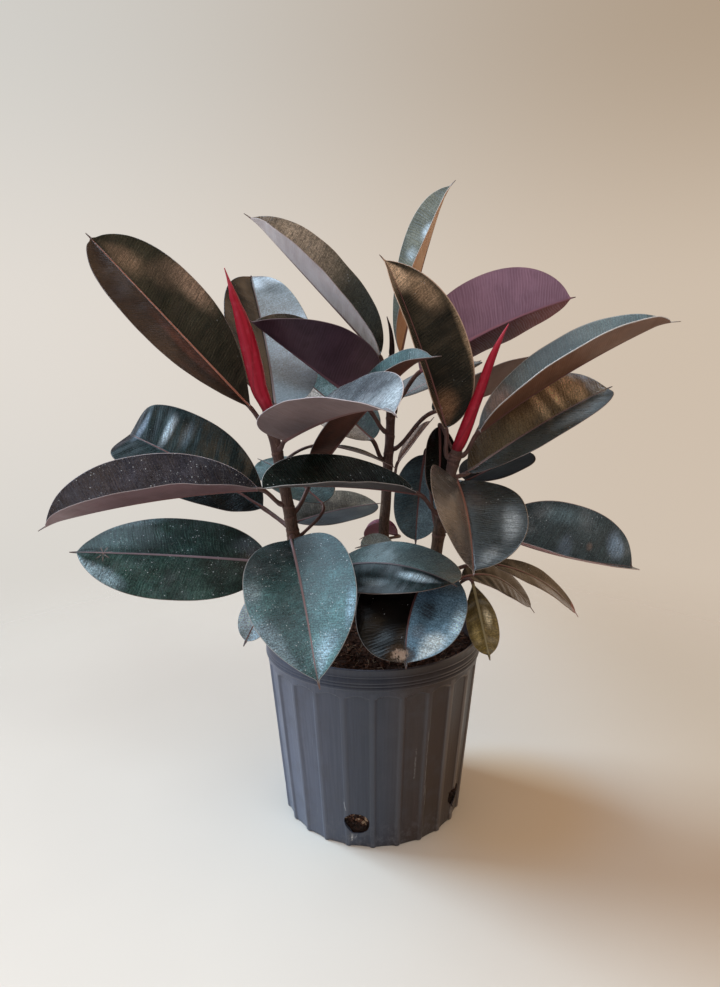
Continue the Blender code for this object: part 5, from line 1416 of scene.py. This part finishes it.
def build_soil():
    rng = np.random.default_rng(905)
    lumps = waves(61, 9, 42, 14)
    crumbs = waves(62, 4, 9, 12)
    slices, rings = 176, 62
    angle = np.arange(slices) * 2 * math.pi / slices
    radius = soil_side(200.0) * np.sqrt(np.linspace(0.0004, 1.0, rings))
    x = radius[:, None] * np.cos(angle)
    y = radius[:, None] * np.sin(angle)
    rise = 1.7 * lumps(x, y) + 0.7 * crumbs(x, y)
    edge = smoothstep(radius, soil_side(200.0) - 12, soil_side(200.0))[:, None]
    z = SOIL_TOP - 0.6 + rise * (1 - 0.5 * edge) - 2.2 * edge
    top = np.stack([x, y, z], -1)[::-1]  # from the wall inward
    side_z = np.concatenate([[FLOOR + 0.8], np.linspace(8, 53, 18), np.linspace(64, 196, 12)])
    side_r = np.array([soil_side(v) for v in side_z])[:, None] - 0.6 + 0.55 * crumbs(angle[None, :] * 110, side_z[:, None])
    side = np.stack([side_r * np.cos(angle), side_r * np.sin(angle), np.repeat(side_z[:, None], slices, 1)], -1)
    grid = np.concatenate([side, top])
    hubs = [[0, 0, FLOOR + 0.8], [0, 0, float(z[0].mean())]]
    points = [np.concatenate([grid.reshape(-1, 3), hubs])]
    faces = outward(points[0], tube_faces(len(grid), slices))
    tones = [np.concatenate([np.clip(0.20 + 0.16 * crumbs(grid[..., 0] * 1.3, grid[..., 1] * 1.3 + grid[..., 2]), 0, 0.5).ravel(), [0.2, 0.2]])]
    start = len(points[0])

    def ground(px, py):
        return SOIL_TOP - 0.6 + 1.7 * float(lumps(px, py)) + 0.7 * float(crumbs(px, py))

    def chip(at, way, facing, long, wide, thick, tone):
        """A flake of bark: an uneven five-sided plate."""
        nonlocal start
        across = np.cross(facing, way)
        k = np.arange(5)
        a = 2 * math.pi * k / 5 + rng.uniform(-0.3, 0.3, 5)
        px = np.cos(a) * long / 2 * rng.uniform(0.75, 1.1, 5)
        py = np.sin(a) * wide / 2 * rng.uniform(0.7, 1.2, 5)
        low = at + px[:, None] * way + py[:, None] * across - facing * thick / 2
        high = at + 0.86 * (px[:, None] * way + py[:, None] * across) + facing * (thick / 2 + rng.uniform(-0.3, 0.3, 5)[:, None])
        points.append(np.vstack([low, high]))
        own = [[0, 4, 3, 2, 1], [5, 6, 7, 8, 9]] + [[i, (i + 1) % 5, 5 + (i + 1) % 5, 5 + i] for i in range(5)]
        faces.extend([[start + i for i in f] for f in own])
        tones.append(np.full(10, tone))
        start += 10

    def fibre(at, way, long, bend, thick, tone):
        nonlocal start
        steps = 7
        f = np.linspace(-0.5, 0.5, steps)
        side_way = unit(np.cross(way, [0.0, 0.0, 1.0]) + 1e-6)
        line = at + way * (f * long)[:, None] + side_way * (bend * (f**2 - 0.08) * long)[:, None]
        line[:, 2] += 1.2 * np.sin(f * 9 + bend * 7)
        own = []
        for i, p in enumerate(line):
            r = thick * (1 - 1.5 * f[i] ** 2)
            for b in range(3):
                c = 2 * math.pi * b / 3
                own.append(p + side_way * r * math.cos(c) + np.array([0, 0, 1]) * r * math.sin(c))
        own += [line[0], line[-1]]
        points.append(np.array(own))
        faces.extend(tube_faces(steps, 3, start=start))
        tones.append(np.full(len(own), tone))
        start += len(own)

    stems = [stem_at(s, 207.0)[0][:2] for s in STEMS]
    made = 0
    while made < 3300:
        r = (soil_side(205.0) - 4.5) * math.sqrt(rng.uniform(0, 1))
        a = rng.uniform(0, 2 * math.pi)
        p = np.array([r * math.cos(a), r * math.sin(a)])
        if min(np.linalg.norm(p - s) for s in stems) < 10.5:
            continue
        made += 1
        big = rng.uniform() < 0.12
        long = rng.uniform(7, 13) if big else rng.uniform(2.6, 7.0)
        wide = long * rng.uniform(0.25, 0.6)
        thick = rng.uniform(0.5, 1.1) + 0.1 * wide
        facing = unit(np.array([rng.normal(0, 0.42), rng.normal(0, 0.42), 1.0]))
        way = unit(np.cross(facing, [math.cos(a * 7 + made), math.sin(a * 7 + made), 0.2]))
        long = min(long, 2 * (soil_side(205.0) - 1.5 - r))
        tone = float(np.clip(rng.beta(2.0, 2.6) * 0.9 + (0.12 if big else 0.0), 0, 0.86))
        chip(np.array([*p, ground(*p) + rng.uniform(0.0, 1.6)]), way, facing, long, wide, thick, tone)
    for _ in range(620):
        r = (soil_side(205.0) - 12.0) * math.sqrt(rng.uniform(0, 1))
        a = rng.uniform(0, 2 * math.pi)
        p = np.array([r * math.cos(a), r * math.sin(a)])
        b = rng.uniform(0, 2 * math.pi)
        way = unit(np.array([math.cos(b), math.sin(b), rng.normal(0, 0.12)]))
        long = rng.uniform(6, 20)
        long = min(long, 2 * (soil_side(205.0) - 2.0 - r))
        fibre(np.array([*p, ground(*p) + rng.uniform(1.6, 3.2)]), way, long, rng.normal(0, 0.35), rng.uniform(0.16, 0.34), float(rng.choice([0.45, 0.7, 0.8, 0.95])))
    for index in range(HOLES):  # what shows in the drainage holes
        azimuth = math.radians(HOLE_FIRST + 360.0 / HOLES * index)
        out = np.array([math.cos(azimuth), math.sin(azimuth), 0.0])
        across = np.array([-math.sin(azimuth), math.cos(azimuth), 0.0])
        for step in range(170):
            near = step >= 110  # the last ones lie in the hole itself
            px, pz = (rng.uniform(-12, 12), HOLE_HEIGHT + rng.uniform(-9, 11)) if near else (rng.uniform(-18, 18), rng.uniform(8, 54))
            deep = rng.uniform(-3.6, -1.0) if near else rng.uniform(-1.0, 2.2)
            at = out * (soil_side(pz) - 1.4 - deep) + across * px + np.array([0, 0, pz])
            facing = unit(out + across * rng.normal(0, 0.5) + np.array([0, 0, rng.normal(0.1, 0.5)]))
            way = unit(np.cross(facing, [rng.normal(), rng.normal(), rng.normal()]))
            long = rng.uniform(2.5, 7)
            # Painted light: chips are darker low in the hole and in the holes away from the front, where shade falls,
            # and paler in the opening, where light reaches.
            lit = 0.12 + 1.0 * smoothstep(pz + 0.25 * px, HOLE_HEIGHT - 4.0, HOLE_HEIGHT + 4.0)  # darker low in the hole
            tone = float(np.clip((rng.beta(1.2, 1.2) + 0.25 * near) * lit * (1.0 if index == 0 else 0.3), 0, 0.95))
            chip(at, way, facing, long, long * rng.uniform(0.3, 0.6), rng.uniform(0.6, 1.2), tone)
    soil = new_piece("bark_mix", np.vstack(points), faces, soil_material(), node="soil",
                     attributes={"tone": np.concatenate(tones)}, smooth=False)
    flags = np.zeros(len(soil.data.polygons), bool)
    flags[: (len(grid) - 1) * slices + 2 * slices] = True
    soil.data.polygons.foreach_set("use_smooth", flags.tolist())
    return soil


build_soil()


# ---------------------------------------------------------------- studio
def build_floor():
    """A pale floor that fades into the backdrop."""
    count, rings = 96, 40
    radius = np.concatenate([[0.0], np.geomspace(60, 6000, rings - 1)])
    angle = np.arange(count) * 2 * math.pi / count
    points = np.stack([radius[:, None] * np.cos(angle), radius[:, None] * np.sin(angle), np.full((rings, count), -0.2)], -1).reshape(-1, 3)
    faces = []
    for i in range(rings - 1):
        for j in range(count):
            k = (j + 1) % count
            a, b = i * count, (i + 1) * count
            faces.append([a + j, b + j, b + k, a + k] if i else [a, b + j, b + k])
    mesh = bpy.data.meshes.new("studio_floor")
    mesh.from_pydata((points * MM).tolist(), [], faces)
    obj = bpy.data.objects.new("studio_floor", mesh)
    bpy.context.scene.collection.objects.link(obj)
    material, t = new_material("pale_floor")
    place = t.place()
    x, y, z = t.split(place)
    grain = t.noise(place, 0.004, 2.0)
    colour = t.mix(t.step(grain, 0.3, 0.7), (0.636, 0.594, 0.546), (0.650, 0.608, 0.558))
    far = t.math("SQRT", t.add(t.mul(x, x), t.mul(y, y)))
    # Painted shade: the floor darkens and warms towards the right and darkens towards the back, where the light falls
    # off.
    colour = t.mix(t.step(x, -40.0, 560.0), colour, (0.515, 0.425, 0.335))
    depth = t.step(y, -520.0, 420.0, 1.05, 0.87)
    colour = t.mix(1.0, colour, t.vector(depth, depth, depth), "MULTIPLY")
    # Painted shadow: a warm, darker patch on the floor to the right of the pot, where its shadow falls.
    shadow_dx, shadow_dy = t.sub(x, 165.0), t.add(y, 30.0)
    warm = t.math("SQRT", t.add(t.mul(shadow_dx, shadow_dx), t.mul(shadow_dy, shadow_dy)))
    colour = t.mix(t.step(warm, 175.0, 55.0), colour, (0.96, 0.83, 0.66), "MULTIPLY")
    away = t.step(far, 480.0, 1300.0)
    shader = t.put("ShaderNodeBsdfPrincipled", {"Base Color": colour, "Roughness": 0.75})
    shader.inputs["Specular IOR Level"].default_value = 0.25
    clear = t.put("ShaderNodeBsdfTransparent")
    blend = t.put("ShaderNodeMixShader", {0: away, 1: shader.outputs[0], 2: clear.outputs[0]})
    out = t.put("ShaderNodeOutputMaterial")
    t.tree.links.new(blend.outputs[0], out.inputs[0])
    mesh.materials.append(material)


def build_world():
    """The backdrop's soft gradient, and the room that the plant reflects."""
    world = bpy.data.worlds.new("studio")
    bpy.context.scene.world = world
    world.use_nodes = True
    t = Tree(world.node_tree)
    way = t.put("ShaderNodeTexCoord").outputs["Generated"]
    x, y, z = t.split(way)
    to_right = t.step(x, -0.50, 0.42)

    def ramp(*stops):
        node = t.put("ShaderNodeValToRGB", {0: t.math("MULTIPLY_ADD", z, 0.5, 0.5)})
        node.color_ramp.interpolation = "EASE"
        points = node.color_ramp.elements
        while len(points) < len(stops):
            points.new(0.5)
        for point, (at, colour) in zip(points, stops):
            point.position = at * 0.5 + 0.5
            point.color = (*colour, 1.0)
        return node.outputs[0]

    left = ramp((-0.75, (0.80, 0.79, 0.75)), (-0.36, (0.69, 0.67, 0.63)), (0.02, (0.76, 0.715, 0.66)), (0.36, (0.645, 0.63, 0.595)))
    right = ramp((-0.75, (0.61, 0.52, 0.44)), (-0.30, (0.63, 0.53, 0.43)), (0.02, (0.62, 0.515, 0.41)), (0.36, (0.43, 0.335, 0.245)))
    shown = t.mix(to_right, left, right)

    def patch(azimuth, height, inner, outer):
        a, h = math.radians(azimuth), math.radians(height)
        aim = (math.cos(a) * math.cos(h), math.sin(a) * math.cos(h), math.sin(h))
        dot = t.put("ShaderNodeVectorMath", {0: way, 1: aim}, operation="DOT_PRODUCT").outputs["Value"]
        return t.step(dot, math.cos(math.radians(outer)), math.cos(math.radians(inner)))

    # What the gloss sees: a dim room, cool windows left and above, warm walls
    # right and behind, and the pale floor below.
    seen = t.mix(t.step(x, -0.7, 0.7), (0.045, 0.050, 0.056), (0.075, 0.055, 0.038))
    seen = t.mix(t.step(z, -0.02, -0.16), seen, (0.40, 0.34, 0.28))
    for azimuth, height, inner, outer, colour in (
        (178, 41, 8, 25, (2.6, 3.2, 3.7)),
        (-150, 32, 5, 16, (1.3, 1.6, 1.9)),
        (-134, 71, 4, 13, (3.0, 3.8, 4.5)),
        (-33, 73, 4, 15, (6.0, 7.2, 8.8)),
        (145, 66, 8, 20, (1.1, 1.35, 1.6)),
        (104, 38, 8, 20, (0.9, 1.1, 1.3)),
        (-82, 68, 5, 13, (0.8, 0.55, 0.34)),
        (-108, 25, 3, 11, (1.5, 1.0, 0.60)),
        (48, 22, 12, 30, (0.85, 0.55, 0.33)),
        (60, 2, 4, 14, (1.1, 0.9, 0.75)),
    ):
        seen = t.mix(patch(azimuth, height, inner, outer), seen, colour)
    fill = t.mix(t.step(x, -0.95, -0.10), (0.52, 0.62, 0.78), (0.27, 0.27, 0.30))
    fill = t.mix(t.step(x, -0.10, 0.70), fill, (0.13, 0.085, 0.055))
    fill = t.mix(t.step(z, 0.15, 0.75), fill, (0.80, 0.56, 0.37))
    rays = t.put("ShaderNodeLightPath").outputs
    colour = t.mix(rays["Is Glossy Ray"], fill, seen)
    colour = t.mix(rays["Is Camera Ray"], colour, shown)
    back = t.put("ShaderNodeBackground", {"Color": colour, "Strength": 1.0})
    out = t.put("ShaderNodeOutputWorld")
    t.tree.links.new(back.outputs[0], out.inputs[0])


def add_light(name, at, towards, size, power, colour, spread=180.0):
    data = bpy.data.lights.new(name, "AREA")
    data.shape = "RECTANGLE"
    data.size, data.size_y = size
    data.energy = power
    data.color = colour
    data.spread = math.radians(spread)
    obj = bpy.data.objects.new(name, data)
    bpy.context.scene.collection.objects.link(obj)
    obj.location = at
    obj.rotation_mode = "QUATERNION"
    obj.rotation_quaternion = (Vector(towards) - Vector(at)).to_track_quat("-Z", "Y")
    obj.visible_camera = False
    obj.visible_glossy = False  # the gloss sees the room's own windows


build_floor()
build_world()
add_light("key", (-6.15, 2.15, 5.28), (0.0, 0.0, 0.25), (3.7, 3.2), 980.0, (0.62, 0.83, 1.0))
add_light("above", (0.85, -1.70, 2.70), (0.0, 0.0, 0.5), (1.4, 1.4), 25.0, (0.70, 0.87, 1.0))

scene = bpy.context.scene
scene.view_settings.view_transform = "Standard"
scene.view_settings.look = "None"
scene.view_settings.exposure = 0.0
scene.view_settings.gamma = 1.0

bpy.context.view_layer.update()
